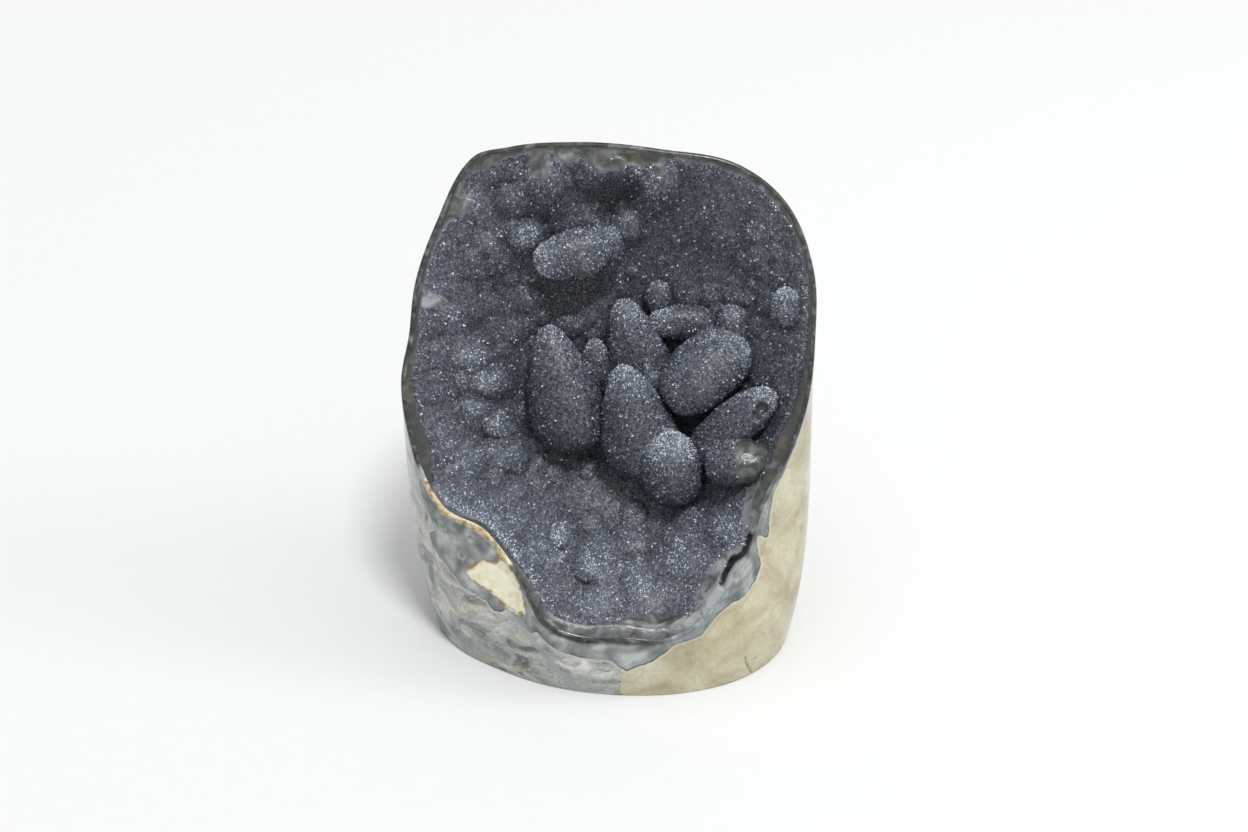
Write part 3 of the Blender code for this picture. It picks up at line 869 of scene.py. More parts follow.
class Nodes:
    """The node tree of one material, with short calls for the nodes that the finishes use."""

    def __init__(self, name: str) -> None:
        """Start a material whose surface is a Principled shader."""
        self.material = bpy.data.materials.new(name)
        self.material.use_nodes = True
        self.tree = self.material.node_tree
        self.shader = self.tree.nodes["Principled BSDF"]
        self.place = self.add("ShaderNodeTexCoord").outputs["Object"]

    def add(self, kind: str, **settings: object) -> bpy.types.Node:
        """Add one node and set its properties."""
        node = self.tree.nodes.new(kind)
        for key, value in settings.items():
            setattr(node, key, value)
        return node

    def feed(self, socket: bpy.types.NodeSocket, value: object) -> None:
        """Link a socket to another, or set its number or colour."""
        if isinstance(value, bpy.types.NodeSocket):
            self.tree.links.new(value, socket)
        elif isinstance(value, tuple):
            socket.default_value = (*value, 1.0) if len(socket.default_value) == 4 else value
        else:
            socket.default_value = value

    def attribute(self, name: str) -> bpy.types.NodeSocket:
        """Read one of the numbers that the mesh keeps."""
        return self.add("ShaderNodeAttribute", attribute_name=name).outputs["Fac"]

    def noise(self, size: float, detail: float = 4.0, rough: float = 0.55, twist: float = 0.0,
              place: object = None) -> bpy.types.NodeSocket:
        """Return noise whose hills are so many millimetres wide, from 0 to 1."""
        node = self.add("ShaderNodeTexNoise")
        self.feed(node.inputs["Vector"], place or self.place)
        node.inputs["Scale"].default_value = 1.0 / (size * MM)
        node.inputs["Detail"].default_value = detail
        node.inputs["Roughness"].default_value = rough
        node.inputs["Distortion"].default_value = twist
        return node.outputs["Fac"]

    def maths(self, operation: str, first: object, second: object = 0.0) -> bpy.types.NodeSocket:
        """Return the result of a sum on two values."""
        node = self.add("ShaderNodeMath", operation=operation)
        self.feed(node.inputs[0], first)
        self.feed(node.inputs[1], second)
        return node.outputs[0]

    def step(self, value: object, low: float, high: float, start: float = 0.0,
             end: float = 1.0) -> bpy.types.NodeSocket:
        """Return a soft step of a value, from start at low to end at high."""
        node = self.add("ShaderNodeMapRange", interpolation_type="SMOOTHSTEP")
        for socket, number in zip(node.inputs, (value, low, high, start, end)):
            self.feed(socket, number)
        return node.outputs["Result"]

    def ramp(self, value: object, stops: tuple[tuple[float, Colour], ...]) -> bpy.types.NodeSocket:
        """Return a colour that follows a value through a row of stops."""
        node = self.add("ShaderNodeValToRGB")
        marks = node.color_ramp.elements
        for number, (place, colour) in enumerate(stops):
            mark = marks[number] if number < 2 else marks.new(place)
            mark.position = place
            mark.color = (*colour, 1.0)
        self.feed(node.inputs["Fac"], value)
        return node.outputs["Color"]

    def mix(self, share: object, first: object, second: object,
            blend: str = "MIX") -> bpy.types.NodeSocket:
        """Return two colours mixed by a share."""
        node = self.add("ShaderNodeMix", data_type="RGBA", blend_type=blend)
        self.feed(node.inputs[0], share)
        self.feed(node.inputs[6], first)
        self.feed(node.inputs[7], second)
        return node.outputs[2]

    def moved(self, size: float, reach: float) -> bpy.types.NodeSocket:
        """Return the place shifted by noise, for patterns that flow like mineral layers."""
        node = self.add("ShaderNodeTexNoise")
        self.feed(node.inputs["Vector"], self.place)
        node.inputs["Scale"].default_value = 1.0 / (size * MM)
        node.inputs["Detail"].default_value = 3.0
        shift = self.add("ShaderNodeVectorMath", operation="SUBTRACT")
        self.feed(shift.inputs[0], node.outputs["Color"])
        self.feed(shift.inputs[1], (0.5, 0.5, 0.5))
        scaled = self.add("ShaderNodeVectorMath", operation="SCALE")
        self.feed(scaled.inputs[0], shift.outputs["Vector"])
        scaled.inputs["Scale"].default_value = reach * MM
        total = self.add("ShaderNodeVectorMath", operation="ADD")
        self.feed(total.inputs[0], self.place)
        self.feed(total.inputs[1], scaled.outputs["Vector"])
        return total.outputs["Vector"]

    def turned(self, turn: float, stretch: float) -> bpy.types.NodeSocket:
        """Return the place turned about Y, with patterns drawn out along the turned X."""
        node = self.add("ShaderNodeMapping")
        self.feed(node.inputs["Vector"], self.moved(9.0, 5.0))
        node.inputs["Rotation"].default_value = (0.0, -turn, 0.0)
        node.inputs["Scale"].default_value = (stretch, 1.0, 1.0)
        return node.outputs["Vector"]

    def bump(self, height: object, depth: float, under: object = None) -> bpy.types.NodeSocket:
        """Return a normal that follows a height from 0 to 1, so many millimetres deep."""
        node = self.add("ShaderNodeBump")
        node.inputs["Distance"].default_value = depth * MM
        self.feed(node.inputs["Height"], height)
        if under is not None:
            self.feed(node.inputs["Normal"], under)
        return node.outputs["Normal"]

    def close(self, colour: object, roughness: object, normal: object = None,
              **rest: float) -> bpy.types.Material:
        """Join the finished colour, roughness and normal to the shader and return the material."""
        self.feed(self.shader.inputs["Base Color"], colour)
        self.feed(self.shader.inputs["Roughness"], roughness)
        if normal is not None:
            self.feed(self.shader.inputs["Normal"], normal)
        for name, value in rest.items():
            self.shader.inputs[name.replace("_", " ")].default_value = value
        return self.material


@dataclass(frozen=True)
class StoneFinish:
    """Polished basalt and agate: cream on the right, veined grey-green on the left.

    Attributes:
        cream: Shades of the cream basalt, from dark to pale.
        green: Shades of the grey-green basalt.
        agate: Shades of the agate's layers.
        quartz: Shades of the glassy band along the rim.
        ochre: Shades of the stained edge and of the nodule's border.
        nodule: Shades of the cream nodule.
        roughness: Roughness of the polish.
    """

    cream: tuple[Colour, ...] = ((0.32, 0.27, 0.175), (0.43, 0.39, 0.27), (0.53, 0.50, 0.375))
    green: tuple[Colour, ...] = (
        (0.11, 0.125, 0.115), (0.24, 0.255, 0.235), (0.35, 0.36, 0.335), (0.40, 0.41, 0.385),
        (0.58, 0.58, 0.53),
    )
    agate: tuple[Colour, ...] = ((0.10, 0.115, 0.118), (0.215, 0.235, 0.235), (0.40, 0.425, 0.41))
    quartz: tuple[Colour, ...] = ((0.018, 0.021, 0.019), (0.048, 0.053, 0.049), (0.17, 0.178, 0.168))
    ochre: tuple[Colour, ...] = ((0.24, 0.15, 0.06), (0.52, 0.40, 0.21), (0.60, 0.57, 0.45))
    nodule: tuple[Colour, ...] = ((0.57, 0.51, 0.34), (0.71, 0.68, 0.52), (0.78, 0.76, 0.64))
    roughness: float = 0.17

    @staticmethod
    def shades(nodes: Nodes, value: object, colours: tuple[Colour, ...], low: float = 0.3,
               high: float = 0.7) -> bpy.types.NodeSocket:
        """Return a row of shades spread over the middle of a noise's range."""
        last = len(colours) - 1
        stops = tuple((low + (high - low) * i / last, shade) for i, shade in enumerate(colours))
        return nodes.ramp(value, stops)

    def wavy(self, nodes: Nodes, name: str, size: float, reach: float) -> bpy.types.NodeSocket:
        """Return one of the mesh's distances with its line made wavy by noise."""
        shift = nodes.maths("SUBTRACT", nodes.noise(size, 3.0), 0.5)
        return nodes.maths("ADD", nodes.attribute(name), nodes.maths("MULTIPLY", shift, reach))

    @staticmethod
    def line(nodes: Nodes, distance: object, at: float, thin: float, thick: float) -> bpy.types.NodeSocket:
        """Return 1 on a line at one value of a distance and 0 away from it."""
        off = nodes.maths("ABSOLUTE", nodes.maths("SUBTRACT", distance, at))
        return nodes.step(off, thin, thick, 1.0, 0.0)

    def cream_basalt(self, nodes: Nodes) -> bpy.types.NodeSocket:
        """Return the colour of the cream basalt: soft clouds, fine mottling and tan seams."""
        clouds = self.shades(nodes, nodes.noise(12.0, 5.0, 0.55, 0.6), self.cream, 0.34, 0.66)
        tan = nodes.step(nodes.noise(5.0, 4.0, 0.6, 0.4, nodes.turned(0.5, 0.5)), 0.52, 0.72)
        clouds = nodes.mix(nodes.maths("MULTIPLY", tan, 0.5), clouds, (0.37, 0.30, 0.19))
        fine = nodes.step(nodes.noise(0.9, 3.0), 0.3, 0.7, 0.93, 1.05)
        mottled = nodes.mix(1.0, clouds, fine, "MULTIPLY")
        seam = self.line(nodes, nodes.noise(24.0, 2.0, 0.4, 0.5), 0.5, 0.0, 0.006)
        seam = nodes.maths("MULTIPLY", seam, nodes.step(nodes.noise(9.0, 1.0), 0.50, 0.66))
        return nodes.mix(nodes.maths("MULTIPLY", seam, 0.45), mottled, (0.24, 0.21, 0.145))

    def green_basalt(self, nodes: Nodes) -> bpy.types.NodeSocket:
        """Return the colour of the grey-green basalt: flowing streaks, pale patches and dark threads."""
        flow = nodes.turned(0.75, 0.30)
        patches = self.shades(nodes, nodes.noise(6.5, 5.0, 0.6, 1.1, flow), self.green, 0.38, 0.62)
        tan = nodes.step(nodes.noise(7.0, 3.0, 0.5, 0.6, flow), 0.50, 0.62)
        patches = nodes.mix(nodes.maths("MULTIPLY", tan, 0.5), patches, (0.37, 0.35, 0.27))
        blue = nodes.step(nodes.noise(9.0, 3.0, 0.5, 0.9, flow), 0.52, 0.60)
        patches = nodes.mix(nodes.maths("MULTIPLY", blue, 0.45), patches, (0.24, 0.28, 0.28))
        pale = self.line(nodes, nodes.noise(6.5, 5.0, 0.6, 1.6, flow), 0.47, 0.0, 0.016)
        patches = nodes.mix(nodes.maths("MULTIPLY", pale, 0.4), patches, (0.50, 0.51, 0.48))
        dark = self.line(nodes, nodes.noise(8.0, 5.0, 0.6, 1.4, flow), 0.55, 0.0, 0.011)
        dark = nodes.maths("MULTIPLY", dark, nodes.step(nodes.noise(5.0, 1.0), 0.42, 0.6))
        veined = nodes.mix(dark, patches, (0.085, 0.10, 0.09))
        fine = nodes.step(nodes.noise(0.7, 3.0), 0.3, 0.7, 0.9, 1.1)
        return nodes.mix(1.0, veined, fine, "MULTIPLY")

    def agate_layers(self, nodes: Nodes, contact: object) -> bpy.types.NodeSocket:
        """Return the colour of the agate: layers that follow its contact, with cloudy patches and eyes."""
        turns = nodes.maths("SINE", nodes.maths("MULTIPLY", contact, 2.0))
        layers = nodes.maths("MULTIPLY", turns, nodes.step(nodes.noise(6.0, 1.0), 0.35, 0.65, 0.0, 0.07))
        value = nodes.maths("ADD", layers, nodes.noise(4.5, 3.0, 0.5, 0.6))
        colour = self.shades(nodes, value, self.agate, 0.30, 0.70)
        eyes = self.wavy(nodes, "eyes", 1.4, 1.2)
        broken = nodes.step(nodes.noise(2.0, 1.0), 0.4, 0.7, 0.0, 0.5)
        ring = nodes.maths("MULTIPLY", self.line(nodes, eyes, 0.8, 0.1, 0.6), broken)
        colour = nodes.mix(ring, colour, (0.45, 0.48, 0.39))
        return nodes.mix(nodes.step(eyes, 0.15, 0.4, 0.7, 0.0), colour, (0.13, 0.16, 0.10))

    def material(self, name: str) -> bpy.types.Material:
        """Return the stone's material.

        Args:
            name: Name of the material.

        Returns:
            A material that reads the distances kept on the stone's mesh.
        """
        nodes = Nodes(name)
        contact = self.wavy(nodes, "contact", 2.4, 1.3)
        wander = nodes.maths("MULTIPLY", nodes.noise(9.0, 5.0, 0.6), 9.0)
        side = nodes.step(nodes.maths("ADD", nodes.attribute("cream"), wander), 4.2, 4.8)
        basalt = nodes.mix(side, self.green_basalt(nodes), self.cream_basalt(nodes))
        colour = nodes.mix(nodes.step(contact, -0.12, 0.12), self.agate_layers(nodes, contact), basalt)
        pale = nodes.maths("MULTIPLY", self.line(nodes, contact, 0.5, 0.1, 0.5), 0.35)
        colour = nodes.mix(pale, colour, (0.55, 0.56, 0.53))
        patchy = nodes.step(nodes.noise(6.0, 2.0), 0.35, 0.6, 0.25, 0.95)
        dark = nodes.maths("MULTIPLY", self.line(nodes, contact, 0.0, 0.08, 0.26), patchy)
        colour = nodes.mix(dark, colour, (0.055, 0.062, 0.060))
        streak = self.wavy(nodes, "streak", 2.0, 1.2)
        streak = nodes.maths("MULTIPLY", nodes.step(streak, 0.4, 1.5, 1.0, 0.0), 0.75)
        colour = nodes.mix(streak, colour, (0.27, 0.30, 0.31))

        nodule = self.wavy(nodes, "nodule", 2.6, 3.4)
        inner = self.shades(nodes, nodes.noise(2.6, 4.0), self.nodule)
        colour = nodes.mix(nodes.step(nodule, -0.15, 0.1, 1.0, 0.0), colour, inner)
        border = self.line(nodes, nodule, -0.1, 0.1, 0.9)
        border = nodes.maths("MULTIPLY", border, nodes.step(nodes.noise(2.5, 2.0), 0.4, 0.62, 0.1, 0.95))
        colour = nodes.mix(border, colour, self.ochre[0])

        band = self.wavy(nodes, "band", 4.0, 2.2)
        glassy = self.shades(nodes, nodes.noise(2.8, 4.0, 0.6, 0.5), self.quartz)
        colour = nodes.mix(nodes.step(band, -0.7, 0.6, 1.0, 0.0), colour, glassy)
        stain = self.shades(nodes, nodes.noise(1.3, 4.0, 0.6), self.ochre)
        stained = nodes.step(self.wavy(nodes, "stain", 2.2, 1.4), -0.1, 0.25, 1.0, 0.0)
        stained = nodes.maths("MULTIPLY", stained, nodes.step(nodes.noise(2.6, 2.0), 0.36, 0.5, 0.15, 1.0))
        colour = nodes.mix(stained, colour, stain)

        marks = nodes.attribute("marks")
        pit = nodes.step(self.wavy(nodes, "marks", 0.7, 0.3), 0.12, 0.34, 1.0, 0.0)
        colour = nodes.mix(pit, colour, (0.10, 0.088, 0.060))
        sawn = nodes.attribute("sawn")
        colour = nodes.mix(nodes.maths("MULTIPLY", sawn, 0.6), colour, (0.42, 0.40, 0.36))
        low, high = self.roughness * 0.8, self.roughness * 1.5
        scuffs = nodes.step(nodes.noise(3.0, 5.0, 0.7), 0.35, 0.75, low, high)
        rough = nodes.maths("MAXIMUM", scuffs, nodes.maths("MULTIPLY", sawn, 0.6))
        rough = nodes.maths("MAXIMUM", rough, nodes.step(marks, 0.1, 0.4, 0.6, 0.0))
        normal = nodes.bump(nodes.noise(1.2, 4.0, 0.6), 0.02)
        return nodes.close(colour, rough, normal, Specular_IOR_Level=0.3)


@dataclass(frozen=True)
class DruseFinish:
    """Amethyst druse: points of dark blue-grey quartz, on a crust that is smooth in places.

    Attributes:
        points: Shades of the points, from the darkest to the palest.
        crust: Shades of the crust between the points.
        smooth: Shades of the smooth chalcedony.
        brown: Brown clouds in the smooth chalcedony.
        point_roughness: Roughness of the points' faces.
        smooth_roughness: Roughness of the smooth chalcedony.
    """

    points: tuple[Colour, ...] = (
        (0.024, 0.029, 0.040), (0.10, 0.114, 0.148), (0.38, 0.43, 0.51), (0.84, 0.88, 0.94),
    )
    crust: tuple[Colour, ...] = ((0.030, 0.034, 0.043), (0.085, 0.093, 0.115), (0.17, 0.18, 0.21))
    smooth: tuple[Colour, ...] = ((0.040, 0.044, 0.040), (0.12, 0.13, 0.137), (0.28, 0.30, 0.31))
    brown: Colour = (0.105, 0.088, 0.062)
    point_roughness: float = 0.12
    smooth_roughness: float = 0.12

    def points_material(self, name: str) -> bpy.types.Material:
        """Return the material of the points, which read their own tone, painted shade and painted light
        included.
        """
        nodes = Nodes(name)
        stops = tuple(zip((0.0, 0.45, 0.85, 1.0), self.points))
        colour = nodes.ramp(nodes.attribute("tone"), stops)
        fine = nodes.step(nodes.noise(0.3, 2.0), 0.3, 0.7, 0.8, 1.2)
        colour = nodes.mix(1.0, colour, fine, "MULTIPLY")
        rough = nodes.step(nodes.noise(0.6, 2.0), 0.3, 0.7, self.point_roughness, self.point_roughness * 2.2)
        return nodes.close(colour, rough)

    def crust_material(self, name: str) -> bpy.types.Material:
        """Return the material of the crust, with its smooth stretches.

        Args:
            name: Name of the material.

        Returns:
            A material that reads how smooth and how pale the crust is, with painted shade and painted light
            in the paleness, and that paints shade into the slit.
        """
        nodes = Nodes(name)
        fine = nodes.noise(0.8, 5.0, 0.65)
        ground = StoneFinish.shades(nodes, fine, self.crust)
        # The paleness holds painted shade and painted light besides the crust's own tone.
        pale = nodes.attribute("pale")
        cloudy = nodes.maths("ADD", nodes.noise(3.4, 5.0, 0.6, 0.8), nodes.maths("MULTIPLY", pale, 0.32))
        glassy = StoneFinish.shades(nodes, cloudy, self.smooth)
        brown = nodes.step(nodes.noise(4.2, 3.0, 0.5), 0.52, 0.64, 0.0, 0.55)
        brown = nodes.maths("MULTIPLY", brown, nodes.step(pale, -0.6, 0.2, 1.0, 0.0))
        glassy = nodes.mix(brown, glassy, self.brown)
        smooth = nodes.attribute("smooth")
        colour = nodes.mix(smooth, ground, glassy)
        # Painted shade: the slit is coloured near black.
        slit = nodes.step(nodes.attribute("slit"), 0.35, 0.8, 1.0, 0.0)
        colour = nodes.mix(slit, colour, (0.012, 0.013, 0.014))
        rough = nodes.maths("MULTIPLY_ADD", smooth, self.smooth_roughness - 0.4)
        rough.node.inputs[2].default_value = 0.4
        normal = nodes.bump(fine, 0.12)
        return nodes.close(colour, rough, normal)


@dataclass(frozen=True)
class FloorFinish:
    """Plain pale floor."""

    colour: Colour = (0.67, 0.68, 0.68)
    roughness: float = 0.85

    def material(self, name: str) -> bpy.types.Material:
        """Return the floor's material, with a very faint grain."""
        nodes = Nodes(name)
        grain = nodes.step(nodes.noise(4.0, 3.0), 0.3, 0.7, 0.99, 1.0)
        return nodes.close(nodes.mix(1.0, self.colour, grain, "MULTIPLY"), self.roughness)


@dataclass
class MatrixRock:
    """The stone: hollow under the crust, polished edge, outer skin and sawn foot.

    Attributes:
        hollow: The hollow, whose underside the stone backs.
        skin: The outer skin.
        cells: Cells along each side of the sheet under the crust, a quarter of a ring's.
        courses: Rings of the outer skin.
        edge: Rounded section of the polished edge, as (outward, height) from the rim.
        foot_bevel: Width of the small bevel round the sawn foot.
        contact: Line between agate and basalt, all round the stone.
        streak: Blue-grey streak that runs from the agate to the foot.
        nodule: Outline of the cream nodule.
        side: Line between the grey-green and the cream basalt.
        eyes: Small round eyes in the agate.
        chip: Small chip in the edge in front.
        marks: Pits and short cracks.
        band: Lower limit of the glassy band at the rim, as (degrees, millimetres).
        stain: Lower limit of the ochre stain at the rim, as (degrees, millimetres).
        wave: Height and width of the slow waves of the polished skin.
        pit_depth: Depth of the pits and cracks.
        chip_depth: Depth of the chip.
    """

    hollow: Hollow
    skin: OuterSkin
    cells: int = 116
    courses: int = 116
    edge: tuple[Place, ...] = (
        (0.0, -0.38), (0.12, -0.32), (0.34, -0.28), (0.62, -0.31), (0.86, -0.44), (1.0, -0.62),
    )
    foot_bevel: float = 0.4
    contact: SkinLine = SkinLine((
        (0.0, 0.8), (20.0, 1.5), (45.0, 3.0), (70.0, 2.5), (90.0, 4.0), (115.0, 3.0), (140.0, 2.2),
        (165.0, 1.4), (185.0, 2.4), (197.0, 2.2), (203.0, 1.9), (206.0, 4.6), (208.0, 7.3),
        (211.5, 7.6), (212.0, 10.1), (205.0, 17.5), (204.5, 20.5), (209.0, 19.7), (212.0, 18.2),
        (216.0, 18.6), (218.0, 19.7), (222.0, 18.6), (226.0, 18.7), (227.0, 20.4), (230.0, 19.3),
        (235.0, 15.0), (239.0, 16.5), (243.0, 15.0), (248.0, 10.0), (254.0, 6.0), (262.0, 4.5),
        (270.0, 4.8), (274.0, 7.6), (276.0, 6.2), (278.0, 5.5), (280.0, 3.9), (282.0, 2.0),
        (284.0, 1.0), (286.0, 1.6), (291.0, 3.5), (295.0, 1.6), (300.0, 3.5), (305.0, 7.5),
        (310.0, 11.8), (315.0, 15.0), (318.0, 16.3), (320.0, 13.9), (314.0, 4.0), (312.5, 1.5),
        (316.0, 4.0), (323.0, 10.2), (324.0, 4.7), (325.0, 1.5), (330.0, 0.9), (340.0, 0.7),
        (360.0, 0.8),
    ))
    streak: SkinLine = SkinLine((
        (235.0, 15.0), (239.0, 16.0), (242.0, 18.1), (245.0, 19.1), (252.0, 19.5), (258.0, 17.5),
    ))
    nodule: SkinLine = SkinLine((
        (221.0, 13.8), (227.0, 8.6), (235.0, 3.8), (237.0, -0.5), (244.0, -0.5), (247.0, 4.0),
        (244.0, 9.5), (238.0, 14.5), (229.0, 15.8), (222.0, 15.0), (221.0, 13.8),
    ))
    eyes: tuple[SkinLine, ...] = (
        SkinLine(((226.0, 2.9), (226.3, 3.2))), SkinLine(((222.0, 9.0), (222.3, 9.2))),
        SkinLine(((217.0, 4.5), (217.3, 4.7))), SkinLine(((98.0, 2.0), (98.5, 2.2))),
    )
    chip: SkinLine = SkinLine(((256.0, 0.9), (262.0, 0.5), (268.0, 0.3)))
    side: SkinLine = SkinLine((
        (277.0, -2.0), (275.0, 6.0), (274.0, 8.1), (275.0, 13.4), (275.5, 18.0), (277.0, 60.0),
        (472.0, 150.0), (477.0, 96.0), (486.0, 72.0), (488.0, 50.0), (497.0, 31.0), (500.0, 12.0),
        (505.0, -2.0),
    ))
    marks: tuple[SkinLine, ...] = (
        SkinLine(((342.0, 20.3), (342.0, 20.6))),
        SkinLine(((345.6, 27.0), (346.4, 28.2))),
        SkinLine(((342.0, 30.2), (342.2, 30.4))),
        SkinLine(((324.6, 40.6), (325.8, 41.4))),
        SkinLine(((320.0, 36.0), (322.0, 40.0), (325.5, 45.5))),
        SkinLine(((40.0, 22.0), (41.0, 22.6))),
        SkinLine(((75.0, 47.0), (76.0, 47.8))),
        SkinLine(((118.0, 31.0), (119.5, 32.0))),
        SkinLine(((150.0, 55.0), (151.5, 58.0), (152.0, 63.0))),
    )
    band: tuple[Place, ...] = (
        (0.0, 0.5), (15.0, 0.9), (40.0, 1.6), (90.0, 0.8), (140.0, 0.8), (180.0, 0.6), (203.0, 0.5),
        (207.0, -0.9), (240.0, -0.9), (248.0, 0.7), (262.0, 1.0), (276.0, 0.5), (284.0, -0.4),
        (300.0, -0.9), (330.0, 0.2), (360.0, 0.5),
    )
    stain: tuple[Place, ...] = (
        (0.0, -3.0), (205.0, -3.0), (209.0, 0.2), (222.0, 0.5), (238.0, 0.5), (243.0, -3.0), (360.0, -3.0),
    )
    wave: tuple[float, float] = (0.10, 11.0)
    pit_depth: float = 0.4
    chip_depth: float = 0.8

    def shape(self) -> bpy.types.Mesh:
        """Return the stone's closed mesh, with the direction and course of each vertex on it."""
        cut, mesh = self.skin.cut, bmesh.new()
        sheet = CutSheet(cut, mesh)
        gap = self.hollow.crust + self.hollow.gap
        edges = sheet.add(self.cells, lambda x, v: self.hollow.bowl(x, v) - gap, 0.0)
        bmesh.ops.transform(mesh, matrix=cut.matrix, verts=mesh.verts)
        for outward, height in self.edge:
            def edge_place(angle: np.ndarray) -> np.ndarray:
                """Return the points of one ring of the polished edge."""
                rim = cut.rim_place(angle, outward)
                return cut.to_part(np.column_stack([rim, np.full(len(rim), height)]))

            edges = sheet.add_ring(edges, edge_place, -1.0)
        for t in np.linspace(0.0, 0.992, self.courses + 1):
            edges = sheet.add_ring(edges, lambda angle: self.skin.point(angle, t), float(max(t, 1e-4)))
        edges = sheet.add_ring(edges, self.foot_place, 1.0)
        bmesh.ops.contextual_create(mesh, geom=edges)
        return finish_mesh(mesh, "matrix_rock")

    def foot_place(self, angle: np.ndarray) -> np.ndarray:
        """Return the edge of the sawn face, inside the skin by the small bevel."""
        out = np.stack([np.cos(angle), np.sin(angle), np.zeros_like(angle)], axis=-1)
        return self.skin.point(angle, 1.0) - self.foot_bevel * out

    def dress(self, data: bpy.types.Mesh) -> None:
        """Keep on the mesh what the stone's finish reads, and model the pits and slow waves.

        Args:
            data: The stone's mesh, in millimetres in the frame of the part.
        """
        places = read_places(data)
        angle, course = np.empty(len(places), np.float32), np.empty(len(places), np.float32)
        data.attributes["direction"].data.foreach_get("value", angle)
        data.attributes["course"].data.foreach_get("value", course)
        angle = angle.astype(float) % math.tau
        outside = np.flatnonzero(course > 0.0)
        below = np.where(course < 0.0, -0.4, -30.0)
        below[outside] = self.skin.drop(angle[outside], course[outside].astype(float))
        around = np.column_stack([np.degrees(angle), below])
        over = ((360.0, -40.0), (0.0, -40.0))
        contact = self.contact.signed(self.skin, places, around, over)
        nodule = self.nodule.signed(self.skin, places, around)
        turned = around.copy()
        turned[:, 0] = np.where(turned[:, 0] < 200.0, turned[:, 0] + 360.0, turned[:, 0])
        side = self.side.signed(self.skin, places, turned, ((505.0, -40.0), (277.0, -40.0)))
        marks = np.min([mark.distance(self.skin, places) for mark in self.marks], axis=0)
        eyes = np.min([eye.distance(self.skin, places) for eye in self.eyes], axis=0)
        chip = self.chip.distance(self.skin, places)
        band = below - np.interp(around[:, 0], *np.array(self.band).T)
        stain = below - np.interp(around[:, 0], *np.array(self.stain).T)
        for name, values in (
            ("contact", contact), ("nodule", nodule), ("cream", -side), ("marks", marks),
            ("band", band), ("stain", stain), ("eyes", eyes),
            ("streak", self.streak.distance(self.skin, places)),
            ("sawn", (places[:, 2] < 0.01).astype(float)),
        ):
            write_attribute(data, name, values)
        normals = np.empty(len(places) * 3, np.float32)
        data.vertex_normals.foreach_get("vector", normals)
        inward = self.pit_depth * (1.0 - smoothstep(0.1, 0.45, marks))
        inward += self.wave[0] * (0.5 + 0.5 * cloud(places, self.wave[1]))
        inward *= smoothstep(0.0, 2.0, below) * smoothstep(0.0, 1.5, places[:, 2])
        inward += self.chip_depth * (1.0 - smoothstep(0.0, 1.4, chip)) * (course != 0.0)
        write_places(data, places - inward[:, None] * normals.reshape(-1, 3))

    def build(self, finish: StoneFinish) -> bpy.types.Object:
        """Build the stone and dress it.

        Args:
            finish: The stone's finish.

        Returns:
            The finished piece.
        """
        data = self.shape()
        self.dress(data)
        data.shade_smooth()
        data.set_sharp_from_angle(angle=math.radians(45.0))
        data.materials.append(finish.material("polished_stone"))
        return hand_over(new_object("matrix_rock_stone", data), ("matrix_rock",))


@dataclass
class AmethystCrust:
    """The crust that lines the hollow, with its lumps, bumps and smooth stretches.

    Attributes:
        hollow: The hollow and the height of the crust over the cut.
        cells: Cells along each side of the visible sheet.
        hidden_cells: Cells along each side of the hidden sheet.
        inset: How far inside the rim the crust ends.
    """

    hollow: Hollow
    cells: int = 272
    hidden_cells: int = 68
    inset: float = 0.04

    def build(self, finish: DruseFinish) -> bpy.types.Object:
        """Build the crust and dress it.

        Args:
            finish: The finish of the druse.

        Returns:
            The finished piece.
        """
        cut, mesh = self.hollow.cut, bmesh.new()
        sheet = CutSheet(cut, mesh)
        upper = sheet.add(self.cells, self.hollow.surface, self.inset)
        under = self.hollow.crust
        lower = sheet.add(self.hidden_cells, lambda x, v: self.hollow.bowl(x, v) - under, self.inset)
        bmesh.ops.bridge_loops(mesh, edges=upper + lower)
        data = finish_mesh(mesh, "amethyst_crust")
        places = read_places(data)
        x, v = places[:, 0], places[:, 1]
        write_attribute(data, "smooth", self.hollow.smoothness(x, v))
        write_attribute(data, "pale", self.hollow.tone_and_painted_light(x, v))
        write_attribute(data, "slit", self.hollow.slit.distance(x, v))
        data.transform(cut.matrix)
        data.shade_smooth()
        data.set_sharp_from_angle(angle=math.radians(60.0))
        data.materials.append(finish.crust_material("druse_crust"))
        return hand_over(new_object("amethyst_crust_sheet", data), ("amethyst_crust",))


